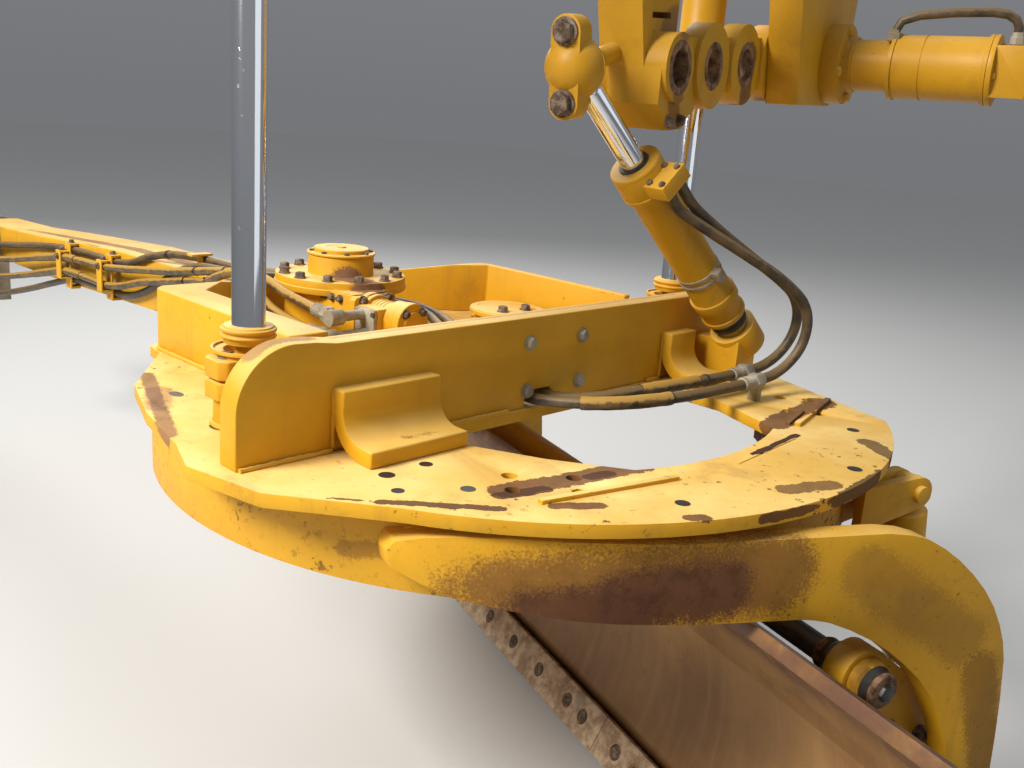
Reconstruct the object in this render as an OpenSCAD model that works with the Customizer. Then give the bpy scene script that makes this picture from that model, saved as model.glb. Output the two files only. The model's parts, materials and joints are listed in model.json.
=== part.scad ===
// Drawbar, circle and blade group of a motor grader, with its lift and centre-shift cylinders.
// Origin at the centre of the drawbar's ball, +X forward, +Y to the machine's left, +Z up.

/* [Drawbar] */
// Ball centre to the circle's centre
reach = 3300; // [3000:10:3600]
// Diameter of the drawbar's ball
ball_d = 110; // [90:1:130]
// Width of the tongue at the yoke
tongue_w = 220; // [180:5:260]
// Top of the tongue above the yoke plate
tongue_top = 58; // [40:1:90]
// Bottom of the tongue ahead of the turning arms, below the yoke plate
tongue_drop = 110; // [80:1:150]
// Height of the yoke plate's top above the ball centre
plate_rise = 90; // [60:1:120]
// Thickness of the yoke plate
plate_t = 24; // [16:1:30]
// Radius of the yoke plate behind the cross wall
plate_r = 812; // [790:1:830]
// Distance from the centre line to the straight right edge of the yoke plate
plate_right = 620; // [600:5:680]
// Rear face of the cross wall behind the circle centre
wall_x = 185; // [150:5:230]
// Thickness of the cross wall
wall_t = 50; // [30:1:60]
// Height of the cross wall
wall_h = 192; // [150:1:230]
// Height of the curved side walls
side_h = 140; // [100:1:160]
// Width of the side boxes
side_t = 95; // [70:1:110]
// Centre line to the outer face of a side box
side_y = 534; // [520:1:560]

/* [Circle] */
// Outer radius of the circle
ring_r = 765; // [740:1:780]
// Wall thickness of the circle's skirt
skirt_t = 25; // [15:1:35]
// Height of the circle's skirt
ring_h = 130; // [110:1:150]
// Running gap between the yoke plate and the circle
ring_gap = 8; // [6:1:12]
// Thickness of the toothed flange
tooth_h = 50; // [35:1:60]
// Teeth on the circle
ring_teeth = 76; // [76:2:76]
// Teeth on the pinion
pinion_teeth = 10; // [10:1:10]
// Turn of the circle as parked
circle_turn = 71; // [0:1:359]
// Thickness of a circle arm
arm_t = 43; // [30:1:50]

/* [Blade] */
// Length of the moldboard
blade_l = 3658; // [3000:1:4270]
// Shift of the blade's middle to its left end as parked
blade_shift = 215; // [0:5:400]
// Radius of the moldboard's front face
blade_r = 430; // [430:1:430]
// Thickness of the moldboard
blade_t = 25; // [18:1:30]
// Width of a cutting edge
edge_w = 95; // [80:1:110]
// Thickness of a cutting edge
edge_t = 19; // [13:1:22]

/* [Cylinders] */
// Diameter of a lift rod
lift_rod_d = 60; // [50:1:70]
// Outer diameter of a lift barrel
lift_tube_d = 110; // [95:1:120]
// Length of a lift barrel
lift_tube_l = 1000; // [900:10:1100]
// Bare lift rod between its collar and the gland as parked
lift_bare = 577; // [560:1:600]
// Diameter of the centre-shift rod
shift_rod_d = 53; // [45:1:60]
// Outer diameter of the centre-shift barrel
shift_tube_d = 99; // [90:1:105]
// Diameter of the side-shift rod
slide_rod_d = 50; // [40:1:56]
// Outer diameter of the side-shift barrel
slide_tube_d = 90; // [80:1:95]
// Outer diameter of the tip barrel
tip_tube_d = 90; // [80:1:95]
// Diameter of the tip rod
tip_rod_d = 45; // [35:1:55]

/* [Link bar] */
// Distance between the holes of the link bar
link_pitch = 200; // [190:1:210]
// Diameter of a hole in the link bar
link_hole_d = 76; // [60:1:84]
// Radius of a lobe round a hole
link_lobe_r = 92; // [85:1:100]
// Travel that is left in the lock pin
lock_pin_d = 70; // [50:1:74]

/* [Hidden] */
$fn = 96;
fit = 0.08; // radial clearance of a pin in its bore
seat = 0.3; // gap between faces that slide on each other
yellow = "#d9a522";
steel = "#c8c8cc";
worn = "#8a6a3c";
dark = "#2a2623";

// Frames: the yoke frame has its origin at the circle centre on the yoke plate's top face
module in_yoke() translate([-reach, 0, plate_rise]) children();
module in_circle() in_yoke() rotate(circle_turn) children();
// Turns a profile drawn in X and Z into a solid of width w about the plane Y = y
module slab_y(y, w) translate([0, y + w / 2, 0]) rotate([90, 0, 0]) linear_extrude(w) children();
// A round bar between two points
module bar(a, b, r) {
  v = b - a;
  translate(a) rotate([0, acos(v.z / norm(v)), atan2(v.y, v.x)]) cylinder(h = norm(v), r = r);
}
// Moves children to point a with their Z along the way to b
module along(a, b) {
  v = b - a;
  translate(a) rotate([0, acos(v.z / norm(v)), atan2(v.y, v.x)]) children();
}
function arc(c, r, a0, a1, n) = [for (i = [0 : n]) c + r * [cos(a0 + (a1 - a0) * i / n), sin(a0 + (a1 - a0) * i / n)]];

// Gear geometry: the circle's tooth gaps are the teeth of a gear of the same module
pressure = 20;
root_gap = 56; // from the inside of the skirt to the pitch circle
ring_pitch_r = ring_r - skirt_t - root_gap;
gear_m = 2 * ring_pitch_r / ring_teeth; // tooth module of the circle and its pinion
pinion_pitch_r = gear_m * pinion_teeth / 2;
pinion_gap = ring_pitch_r - pinion_pitch_r;
pinion_dir = 3.5;
mesh_play = 1.2;
add = 0.8 * gear_m;
ded = 1.05 * gear_m;
ring_top = -plate_t - ring_gap;
ring_bottom = ring_top - ring_h;
tooth_low = ring_top - tooth_h;
function inv(a) = tan(a) * 180 / PI - a;
// Half the angle that a tooth takes at radius r
function half_tooth(teeth, r, thin) =
  let (rp = gear_m * teeth / 2, rb = rp * cos(pressure), rr = max(r, rb))
  90 / teeth + inv(pressure) - inv(acos(rb / rr)) - thin / (2 * rp) * 180 / PI;
module gear_profile(teeth, r_low, r_high, thin, first = 0) {
  levels = [for (i = [0 : 4]) r_low + (r_high - r_low) * i / 4];
  polygon([for (t = [0 : teeth - 1]) for (s = [-1, 1]) for (i = [0 : 4])
    let (r = s < 0 ? levels[i] : levels[4 - i], a = first + 360 * t / teeth + s * half_tooth(teeth, r, thin))
    r * [cos(a), sin(a)]]);
}

// Places
rod_x = 32;
rod_y = 650;
ball_z = 97;
lift_ball_r = 40;
collar_top = 183;
gland_z = collar_top + lift_bare;
shift_low = [-266, -504, 117];
shift_high = [-172, 54, 679];
arm_splay = 10;
arm_wrap = [49, 90 - arm_splay];
arm_face = ring_r + arm_t;
arm_top = -48;
pivot = [-510, -725];
pivot_r = 35;
tip_top = [-590, -85];
tip_low = [-660, -560];
tip_y = ring_r - 125;
tip_pin_r = 18;
lever_pin_r = 15;
eye_play = 9; // room for the drift of the open pivot
blade_c = [137, -610];
blade_a0 = 117.3;
blade_a1 = 207.4;
rail_x = -345;
rail_z = [-478, -700];
rail_head = [32, 52];
rail_web = 24;
jaw_play = 1.5;
slide_axis = [-335, -352];
bracket_y = arm_face + 7;
bracket_t = 50;
link_u = 410;
link_turn = -78.1;
link_tilt = 5.2;

yoke_front = 985; // front end of the yoke's side boxes, where the tongue is welded on
port_y = 127;

// Hoses: their routes in the yoke frame, from the tongue's front end to the circle's motor and to the
// couplings behind the cross wall, and the two loops up to the centre-shift barrel
hose_d = 24;
crimp_r = 16;
route_motor_upper = [
  [2840, 160, -150], [2674, 158, -127], [2500, 158, -100], [2340, 158, -72], [2190, 158, -46], [2056, 158, -26],
  [1890, 158, -16], [1728, 158, -8], [1580, 160, 8], [1435, 163, 28], [1300, 163, 46], [1180, 167, 66],
  [1060, 176, 86], [960, 188, 103], [870, 196, 116], [771, 200, 131], [660, 214, 130], [560, 228, 117],
  [440, 235, 105], [378, 239, 102]];
route_motor_lower = [
  [2840, 160, -225], [2686, 158, -199], [2520, 158, -168], [2360, 158, -136], [2200, 158, -102], [2056, 158, -74],
  [1890, 158, -68], [1728, 158, -68], [1600, 158, -50], [1500, 158, -24], [1400, 159, -2], [1300, 158, 14],
  [1200, 160, 33], [1100, 168, 50], [1000, 196, 66], [920, 225, 88], [850, 236, 112], [780, 236, 130],
  [720, 234, 120], [650, 238, 93], [570, 248, 71], [440, 262, 61], [360, 268, 59]];
route_shift_upper = [
  [2840, 124, -100], [2740, 124, -80], [2600, 124, -62], [2420, 124, -37], [2230, 124, -14], [2056, 124, 0],
  [1890, 124, 6], [1728, 125, 8], [1600, 125, 24], [1500, 121, 60], [1380, 98, 83], [1240, 80, 90],
  [1100, 76, 92], [980, 72, 94], [880, 50, 104], [820, 8, 104], [770, -50, 84], [720, -115, 62], [660, -175, 50],
  [570, -212, 44], [460, -196, 40], [340, -146, 36], [215, -75, 32], [90, 0, 28], [-40, 48, 22], [-155, 70, 18],
  [-222, 58, 21], [-272, 14, 28], [-304, -52, 36], [-330, -130, 42], [-347, -215, 45], [-356, -290, 45],
  [-359, -350, 45], [-359, -400, 45]];
route_shift_lower = [
  [2840, 124, -300], [2700, 126, -268], [2560, 126, -235], [2420, 126, -200], [2240, 126, -152], [2056, 124, -108],
  [1890, 124, -98], [1728, 125, -97], [1620, 127, -88], [1520, 127, -60], [1430, 127, -22], [1340, 127, 20],
  [1260, 123, 56], [1170, 118, 78], [1060, 114, 86], [960, 108, 92], [880, 88, 104], [815, 45, 106],
  [768, -4, 94], [716, -60, 74], [663, -120, 60], [598, -160, 51], [530, -172, 48],
  [450, -152, 46], [360, -108, 42],
  [235, -40, 38], [110, 32, 32], [-30, 92, 24], [-160, 114, 18], [-230, 106, 23], [-292, 74, 29], [-345, 22, 35],
  [-382, -48, 40], [-405, -130, 43], [-417, -215, 45], [-421, -285, 45], [-421, -345, 45]];
route_loop_upper = concat([
  [-360, -454, 46], [-366, -492, 54], [-378, -523, 76], [-390, -546, 110], [-398, -554, 150], [-400, -546, 190],
  [-397, -522, 225], [-388, -487, 252], [-374, -440, 281], [-357, -385, 313], [-338, -322, 350], [-318, -262, 388]],
  [for (share = [0.53, 0.61]) shift_low + share * (shift_high - shift_low) + [-86, 2, 12]]);
route_loop_lower = concat([
  [-421, -395, 46], [-427, -435, 54], [-438, -468, 76], [-449, -491, 110], [-455, -499, 150], [-455, -492, 190],
  [-449, -469, 225], [-437, -434, 254], [-420, -388, 284], [-395, -337, 313], [-366, -286, 343], [-335, -235, 373]],
  [for (share = [0.55, 0.6095]) shift_low + share * (shift_high - shift_low) + [-82, 26, -12]]);

function unit(v) = v / norm(v);
// A point on the smooth line through a route's points, share t of the way from point i to the next
function between(p, i, t) =
  let (a = p[max(i - 1, 0)], b = p[i], c = p[i + 1], d = p[min(i + 2, len(p) - 1)])
  0.5 * (2 * b + (c - a) * t + (2 * a - 5 * b + 4 * c - d) * t * t + (3 * b - a - 3 * c + d) * t * t * t);
function last_way(p) = unit(p[len(p) - 1] - p[len(p) - 2]);
module hose(route, side = [0, 0, 1], steps = 2, sides = 10) {
  line = concat([for (i = [0 : len(route) - 2]) for (k = [0 : steps - 1]) between(route, i, k / steps)],
    [route[len(route) - 1]]);
  last = len(line) - 1;
  ways = [for (i = [0 : last]) i == 0 ? unit(route[1] - route[0]) : i == last ? last_way(route)
    : unit(line[i + 1] - line[i - 1])];
  points = [for (i = [0 : last]) let (u = unit(cross(side, ways[i])), v = cross(ways[i], u))
    for (k = [0 : sides - 1]) line[i] + hose_d / 2 * (cos(360 * k / sides) * u + sin(360 * k / sides) * v)];
  polyhedron(points, concat(
    [[for (k = [0 : sides - 1]) k]],
    [for (i = [0 : last - 1]) for (k = [0 : sides - 1]) let (m = (k + 1) % sides)
      [for (n = [k, k + sides, m + sides, m]) sides * i + n]],
    [[for (k = [sides - 1 : -1 : 0]) sides * last + k]]));
}

module drawbar_tongue() color(yellow) in_yoke() tongue_shape();
module tongue_shape() {
  front = reach - 190;
  intersection() {
    slab_y(0, tongue_w) polygon([
      [yoke_front, tongue_top], [yoke_front, -plate_t], [1160, -plate_t], [1330, -tongue_drop],
      [front - 500, -tongue_drop - 40], [front, -plate_rise - 75], [front, -plate_rise + 65],
      [front - 350, -plate_rise + 70], [1774, tongue_top - 18]]);
    linear_extrude(600, center = true) polygon([
      [yoke_front - 1, tongue_w / 2], [front - 700, tongue_w / 2], [front + 1, 75],
      [front + 1, -75], [front - 700, -tongue_w / 2], [yoke_front - 1, -tongue_w / 2]]);
  }
}

module drawbar_ball() color(steel) {
  sphere(d = ball_d);
  translate([-130, 0, 0]) rotate([0, 90, 0]) cylinder(h = 130, r1 = 52, r2 = 34);
  translate([-190, 0, 0]) rotate([0, 90, 0]) cylinder(h = 60, r = 74);
}

module plate_outline() {
  polygon(concat(
    [[yoke_front, -tongue_w / 2], [yoke_front, tongue_w / 2], [640, side_y + 4], [572, 549], [359, 711],
      [180, 774], [-9, 814], [-113, 851], [-279, 817]],
    arc([-20, -10], plate_r, 122, 216, 32),
    [[-513, -545], [-319, -plate_right], [-60, -plate_right], [-40, -715], [110, -715], [130, -plate_right],
      [480, -plate_right], [572, -549], [640, -side_y - 4]]));
}
module yoke_plate() color(yellow) in_yoke() difference() {
  translate([0, 0, -plate_t]) linear_extrude(plate_t) difference() {
    plate_outline();
    intersection() {
      circle(r = 600);
      polygon([[-wall_x - 5, 410], [-260, 410], [-420, 330], [-620, 190], [-620, -190], [-380, -290],
        [-wall_x - 5, -290]]);
    }
  }
  rotate(pinion_dir) translate([pinion_gap, 0, -plate_t - 1]) cylinder(h = plate_t + 2, r = 60);
  for (a = shoe_angles) rotate(a) for (r = [ring_r - 140, ring_r - 75]) for (s = [-1, 1])
    translate([r, s * 55, -plate_t - 1]) cylinder(h = plate_t + 2, r = 14, $fn = 32);
}

module cross_wall() color(yellow) in_yoke() {
  r = 108;
  // the wall, with its left end rounded over
  translate([-wall_x, 0, 0]) rotate([90, 0, 90]) linear_extrude(wall_t)
    polygon(concat([[52, 0], [52, 22], [66, 36], [124, 36], [138, 22], [138, 0], [805, 0]], arc([805 - r, wall_h + 8 - r], r, 0, 90, 16), [[655, wall_h + 6], [610, wall_h],
      [-537, wall_h], [-537, 0]]));
  // bent gussets on its rear face
  for (y = [510, -370]) slab_y(y, y > 0 ? 220 : 100) {
    translate([-wall_x - 30, 80]) square([30, 35]);
    difference() {
      translate([-wall_x - 80, 80]) circle(r = 80);
      translate([-wall_x - 80, 80]) circle(r = 50);
      translate([-wall_x - 200, 80]) square([300, 100]);
      translate([-wall_x - 280, -20]) square([200, 120]);
    }
    translate([-wall_x - 110, 0]) square([30, 30]);
  }
}

// The two side boxes of the yoke, which bend in to the tongue
module yoke_walls() color(yellow) in_yoke() intersection() {
  linear_extrude(side_h) difference() {
    polygon([[80, side_y], [600, side_y], [627, side_y - 9], [648, side_y - 32], [yoke_front, tongue_w / 2],
      [yoke_front, -tongue_w / 2], [648, -side_y + 32], [627, -side_y + 9], [600, -side_y], [80, -side_y]]);
    polygon([[79, side_y - side_t], [560, side_y - side_t], [835, 150], [835, -150],
      [625, -side_y + 100], [600, -side_y + 24], [79, -side_y + 24]]);
  }
  slab_y(0, 1200) polygon([[0, 0], [0, side_h], [640, side_h], [yoke_front, tongue_top], [yoke_front, 0]]);
}

module lift_sockets() color(yellow) in_yoke() for (s = [-1, 1]) difference() {
  union() {
    translate([rod_x, s * rod_y, 0]) cylinder(h = 140, r = 62);
    translate([-wall_x + wall_t, s > 0 ? rod_y - 45 : -rod_y + 34, 0])
      cube([rod_x + wall_x - wall_t, s > 0 ? 90 : 60, 110]);
  }
  translate([rod_x, s * rod_y, ball_z]) sphere(r = lift_ball_r + fit);
  translate([rod_x, s * rod_y, ball_z + 22]) cylinder(h = 60, r1 = 33, r2 = 66);
  if (s < 0) translate([-400, -plate_r - 100, -1]) cube([900, plate_r + 100 - rod_y - 68, 300]);
}

module shift_socket() color(yellow) in_yoke() difference() {
  union() {
    along(shift_low, shift_high) translate([0, 0, -52]) cylinder(h = 68, r = 56);
    translate([shift_low.x - 40, shift_low.y - 40, 0]) cube([-wall_x - shift_low.x + 40, 80, 96]);
  }
  translate(shift_low) sphere(r = 38 + fit);
  along(shift_low, shift_high) translate([0, 0, 12]) cylinder(h = 40, r1 = 38, r2 = 62);
  translate([-wall_x, -900, -100]) cube([800, 900, 400]);
}

shoe_angles = [45, -42, 140, 220];
shoe_out = ring_pitch_r - add - 14.6; // outside of a shoe's leg, inside the teeth
shoe_in = shoe_out - 65;
shoe_lip = ring_r - skirt_t - 28; // outside of the lip, inside the skirt
module circle_shoes() color(worn) in_yoke() for (a = shoe_angles) rotate(a) {
  w = 170;
  // the foot under the plate, the leg inside the teeth, and the lip below the toothed flange
  intersection() {
    difference() {
      translate([0, 0, tooth_low - seat - 28]) cylinder(h = -plate_t - tooth_low + seat + 28, r = shoe_lip, $fn = 180);
      translate([0, 0, tooth_low - seat - 29]) cylinder(h = 200, r = shoe_in, $fn = 180);
      difference() {
        translate([0, 0, tooth_low - seat]) cylinder(h = 200, r = shoe_lip + 8, $fn = 180);
        translate([0, 0, tooth_low - seat - 1]) cylinder(h = 202, r = shoe_out, $fn = 180);
      }
    }
    translate([shoe_in - 10, -w / 2, -200]) cube([shoe_lip - shoe_in + 18, w, 200]);
  }
}

module drive_housing() color(yellow) in_yoke() rotate(pinion_dir) translate([pinion_gap, 0, 0]) {
  difference() {
    union() {
      cylinder(h = 118, r = 142);
      translate([0, 0, 118]) cylinder(h = 32, r = 167);
      translate([0, 0, 150]) cylinder(h = 50, r = 84);
      translate([0, 0, 200]) cylinder(h = 15, r = 70);
      // worm case on the left side
      translate([-190, 10, 30]) cube([150, 110, 104]);
    }
    translate([0, 0, -1]) cylinder(h = 101, r = 45 + fit);
  }
}

module drive_motor() color(yellow) in_yoke() rotate(pinion_dir) translate([pinion_gap, 0, 0]) {
  translate([-190, 65, 85]) rotate([0, -90, 0]) {
    cylinder(h = 16, r = 52);
    translate([0, 0, 16]) cylinder(h = 90, r = 40);
    translate([0, 0, 106]) cylinder(h = 45, r = 46);
    translate([0, 0, 151]) cylinder(h = 8, r = 30);
  }
  // pad for the two ports
  translate([-290, 65, 42]) cube([70, port_y - 65, 74]);
}

module drive_pinion() color(steel) in_yoke() rotate(pinion_dir) translate([pinion_gap, 0, 0]) {
  translate([0, 0, tooth_low]) linear_extrude(tooth_h)
    gear_profile(pinion_teeth, pinion_pitch_r - ded, pinion_pitch_r + add, mesh_play);
  translate([0, 0, ring_top]) cylinder(h = -ring_top + 99, r = 45);
}

module access_cap() color(yellow) in_yoke() translate([403, -402, 0]) {
  cylinder(h = 40, r = 92);
  translate([0, 0, 40]) cylinder(h = 14, r = 104);
}

module circle_ring() color(yellow) in_circle() {
  mesh = -circle_turn + pinion_dir;
  difference() {
    union() {
      translate([0, 0, tooth_low]) cylinder(h = tooth_h, r = ring_r, $fn = 180);
      translate([0, 0, ring_bottom]) cylinder(h = ring_h, r = ring_r, $fn = 180);
    }
    translate([0, 0, ring_bottom - 1]) cylinder(h = tooth_low - ring_bottom + 1, r = ring_r - skirt_t, $fn = 180);
    translate([0, 0, tooth_low - 1]) linear_extrude(tooth_h + 2)
      gear_profile(ring_teeth, ring_pitch_r - add, ring_pitch_r + ded, 0, mesh);
    translate([0, 0, tooth_low - 1]) cylinder(h = tooth_h + 2, r = ring_pitch_r - add, $fn = 180);
  }
}

// Side outline of a circle arm in the X and Z of the circle
arm_side = concat(
  [[512, -76], [500, -58], [465, -46], [428, -39], [354, -34], [209, -38], [80, -46], [-293, arm_top],
    [-340, -54], [-374, -64], [-410, -83], [-444, -106], [-480, -136], [-512, -168], [-540, -204], [-562, -242],
    [-578, -278], [-589, -316], [-601, -401], [-609, -480], [-614, -550], [-614, -690]],
  arc(pivot, 78, 160, 330, 8),
  [[-520, -600], [-511, -535], [-500, -490], [-484, -450], [-464, -410], [-440, -372], [-409, -336], [-373, -304],
    [-334, -274], [-291, -247], [-248, -225], [-204, -207], [-175, -200], [-145, -196], [-70, -194], [39, -190],
    [182, -177], [276, -166], [341, -155], [428, -140], [463, -125], [505, -104]]);
function arm_outer(x) = (arm_face - sin(arm_splay) * x) / cos(arm_splay);
// Plan of an arm: wrapped round the skirt, then straight on at a tangent
wrap_steps = 12;
wrap_step = (arm_wrap[1] - arm_wrap[0]) / wrap_steps;
module arm_plan() {
  inner = ring_r + seat;
  out = [cos(arm_wrap[1] + 90), sin(arm_wrap[1] + 90)];
  tangent = [cos(arm_wrap[1]), sin(arm_wrap[1])];
  polygon(concat(
    [for (i = [0 : wrap_steps - 1]) let (a = arm_wrap[0] + (i + 0.5) * wrap_step)
      inner / cos(wrap_step / 2) * [cos(a), sin(a)]],
    [inner * tangent + 900 * out, arm_face * tangent + 900 * out],
    [for (i = [wrap_steps : -1 : 0]) let (a = arm_wrap[0] + i * wrap_step) arm_face * [cos(a), sin(a)]],
    [inner * [cos(arm_wrap[0]), sin(arm_wrap[0])]]));
}
module circle_arm() {
  difference() {
    union() {
      intersection() {
        translate([0, 0, -900]) linear_extrude(900) arm_plan();
        slab_y(800, 900) polygon(arm_side);
      }
      // pivot boss and the shelf that ties the arm to the skirt
      translate([pivot.x, bracket_y + bracket_t / 2 + 6, pivot.y]) rotate([-90, 0, 0])
        cylinder(h = arm_outer(pivot.x) - bracket_y - bracket_t / 2 + 4, r = 64);
      difference() {
        translate([0, 0, ring_bottom - 25]) linear_extrude(25) polygon([
          [-90, ring_r - 65], [-90, arm_outer(-90) - 20], [-470, arm_outer(-470) - 20], [-470, tip_y], [-330, tip_y]]);
        translate([0, 0, ring_bottom - 26]) cylinder(h = 27, r = ring_r - skirt_t, $fn = 180);
      }
    }
  }
  translate([pivot.x, bracket_y - bracket_t / 2 - 12, pivot.y]) rotate([-90, 0, 0])
    cylinder(h = bracket_t + 60, r = pivot_r);
}
module circle_arm_left() color(yellow) in_circle() circle_arm();
module circle_arm_right() color(yellow) in_circle() mirror([0, 1, 0]) circle_arm();

module tip_lug() color(yellow) in_circle() {
  for (s = [-1, 1]) difference() {
    slab_y(tip_y + s * 25, 22) polygon(concat(
      [[-440, -60], [-440, -150]], arc(tip_top, 34, 270, 90, 10)));
    translate([tip_top.x, tip_y - 50, tip_top.y]) rotate([-90, 0, 0]) cylinder(h = 100, r = tip_pin_r);
    translate([0, 0, -300]) cylinder(h = 300, r = ring_r, $fn = 180);
  }
  translate([tip_top.x, tip_y - 48, tip_top.y]) rotate([-90, 0, 0]) cylinder(h = 96, r = tip_pin_r);
}

// Moldboard, edges and rails, drawn in the X and Z of the circle
edge_dir = [-sin(blade_a1), cos(blade_a1)];
edge_in = [cos(blade_a1), sin(blade_a1)];
edge_top = blade_c + blade_r * edge_in;
blade_mid = blade_shift;
module moldboard() color(worn) in_circle() slab_y(blade_mid, blade_l) {
  difference() {
    translate(blade_c) circle(r = blade_r + blade_t, $fn = 180);
    translate(blade_c) circle(r = blade_r, $fn = 180);
    translate(blade_c) polygon([[0, 0], 900 * [cos(blade_a0), sin(blade_a0)], 1200 * [cos(60), sin(60)],
      1200 * [1, 0], 1200 * [cos(-60), sin(-60)], 1200 * [0, -1], 900 * [cos(blade_a1), sin(blade_a1)]]);
  }
  polygon([edge_top - 3 * edge_dir + 1 * edge_in, edge_top, edge_top + 75 * edge_dir,
    edge_top + 75 * edge_dir + blade_t * edge_in, edge_top - 3 * edge_dir + blade_t * edge_in]);
}
module edge_section(width) polygon([edge_top, edge_top + width * edge_dir,
  edge_top + width * edge_dir - edge_t * edge_in, edge_top - edge_t * edge_in]);
bit_l = 200;
module cutting_edges() color(worn) in_circle() {
  half = blade_l / 2 - bit_l - 1;
  for (s = [-1, 1]) slab_y(blade_mid + s * (half + 1) / 2, half - 1) edge_section(edge_w);
}
module end_bits() color(worn) in_circle() for (s = [-1, 1])
  slab_y(blade_mid + s * (blade_l - bit_l) / 2, bit_l) edge_section(edge_w + 12);

rail_l = blade_l - 108;
module slide_rails() color(steel) in_circle() for (z = rail_z) slab_y(blade_mid, rail_l) {
  difference() {
    translate([rail_x, z - rail_web / 2]) square([-rail_x + 200, rail_web]);
    translate(blade_c) circle(r = blade_r + blade_t, $fn = 180);
    translate([blade_c.x - blade_r + 60, -900]) square([500, 900]);
  }
  translate([rail_x - rail_head[0], z - rail_head[1] / 2]) square(rail_head);
}

// Blade bracket: two jaws round the rails, the pivot boss, and at the left the horn for the cylinder
module bracket_profile(horn) difference() {
  union() {
    polygon(horn ? [[-322, -426], [-322, -524], [-395, -534], [-395, -643], [-322, -654], [-322, -746],
        [-430, -790], [-510, -800], [-580, -765], [-592, -700], [-604, -600], [-594, -525], [-540, -450],
        [-450, -365], [-370, -310], [-335, -300], [-290, -352], [-320, -400], [-365, -426]]
      : [[-322, -426], [-322, -524], [-395, -534], [-395, -643], [-322, -654], [-322, -746], [-430, -790],
        [-510, -800], [-580, -765], [-592, -700], [-580, -600], [-540, -500], [-450, -426]]);
    translate(pivot) circle(r = 75);
    if (horn) translate(slide_axis) circle(r = 58);
  }
  for (z = rail_z) {
    translate([rail_x - rail_head[0] - jaw_play, z - rail_head[1] / 2 - jaw_play])
      square([rail_head[0] + 2 * jaw_play, rail_head[1] + 2 * jaw_play]);
    translate([rail_x - 5, z - rail_web / 2 - jaw_play]) square([60, rail_web + 2 * jaw_play]);
  }
}
module blade_bracket(horn) difference() {
  slab_y(bracket_y, bracket_t) bracket_profile(horn);
  translate([pivot.x, bracket_y - 100, pivot.y]) rotate([-90, 0, 0]) cylinder(h = 200, r = pivot_r + fit);
  if (horn) translate([slide_axis.x, bracket_y - 100, slide_axis.y]) rotate([-90, 0, 0]) cylinder(h = 200, r = 44);
}
module tip_bracket_left() color(yellow) in_circle() {
  blade_bracket(true);
  // the lever that the tip cylinder works on
  difference() {
    union() {
      for (s = [-1, 1]) slab_y(tip_y + s * 22, 18) lever_profile();
      translate([pivot.x, tip_y - 31, pivot.y]) rotate([-90, 0, 0]) cylinder(h = bracket_y - bracket_t / 2 - tip_y + 31, r = 60);
      translate([tip_low.x, tip_y - 44, tip_low.y]) rotate([-90, 0, 0]) cylinder(h = 88, r = lever_pin_r);
    }
    translate([pivot.x, bracket_y - 100, pivot.y]) rotate([-90, 0, 0]) cylinder(h = 200, r = pivot_r + fit);
  }
}
module lever_profile() {
  translate(tip_low) circle(r = 32);
  polygon([tip_low + [-30, 12], tip_low + [20, 26], pivot + [-20, 56], pivot + [-56, -20]]);
}
module tip_bracket_right() color(yellow) in_circle() mirror([0, 1, 0]) blade_bracket(false);

// Tip cylinder, between the lug on the circle and the lever on the bracket
tip_a = [tip_top.x, tip_y, tip_top.y];
tip_b = [tip_low.x, tip_y, tip_low.y];
tip_len = norm(tip_b - tip_a);
tip_tube_l = 330;
module tip_barrel() color(yellow) in_circle() difference() {
  union() {
    slab_y(tip_y, 26) translate(tip_top) circle(r = 32);
    along(tip_a, tip_b) {
      translate([-28, -13, 22]) cube([56, 26, 40]);
      translate([0, 0, 46]) cylinder(h = tip_tube_l - 76, r = tip_tube_d / 2);
      translate([0, 0, tip_tube_l - 30]) cylinder(h = 30, r = tip_tube_d / 2 + 5);
    }
  }
  translate([tip_top.x, tip_y - 40, tip_top.y]) rotate([-90, 0, 0]) cylinder(h = 80, r = tip_pin_r + fit);
  along(tip_a, tip_b) translate([0, 0, 80]) cylinder(h = 400, r = tip_rod_d / 2 + fit);
}
module tip_rod() color(steel) in_circle() difference() {
  union() {
    along(tip_a, tip_b) {
      translate([0, 0, 150]) cylinder(h = tip_len - 150 - 62, r = tip_rod_d / 2);
      translate([-20, -12, tip_len - 64]) cube([40, 24, 34]);
    }
    slab_y(tip_y, 24) translate(tip_low) circle(r = 38);
  }
  translate([tip_low.x, tip_y - 40, tip_low.y]) rotate([-90, 0, 0]) cylinder(h = 80, r = lever_pin_r + eye_play);
}

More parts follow.
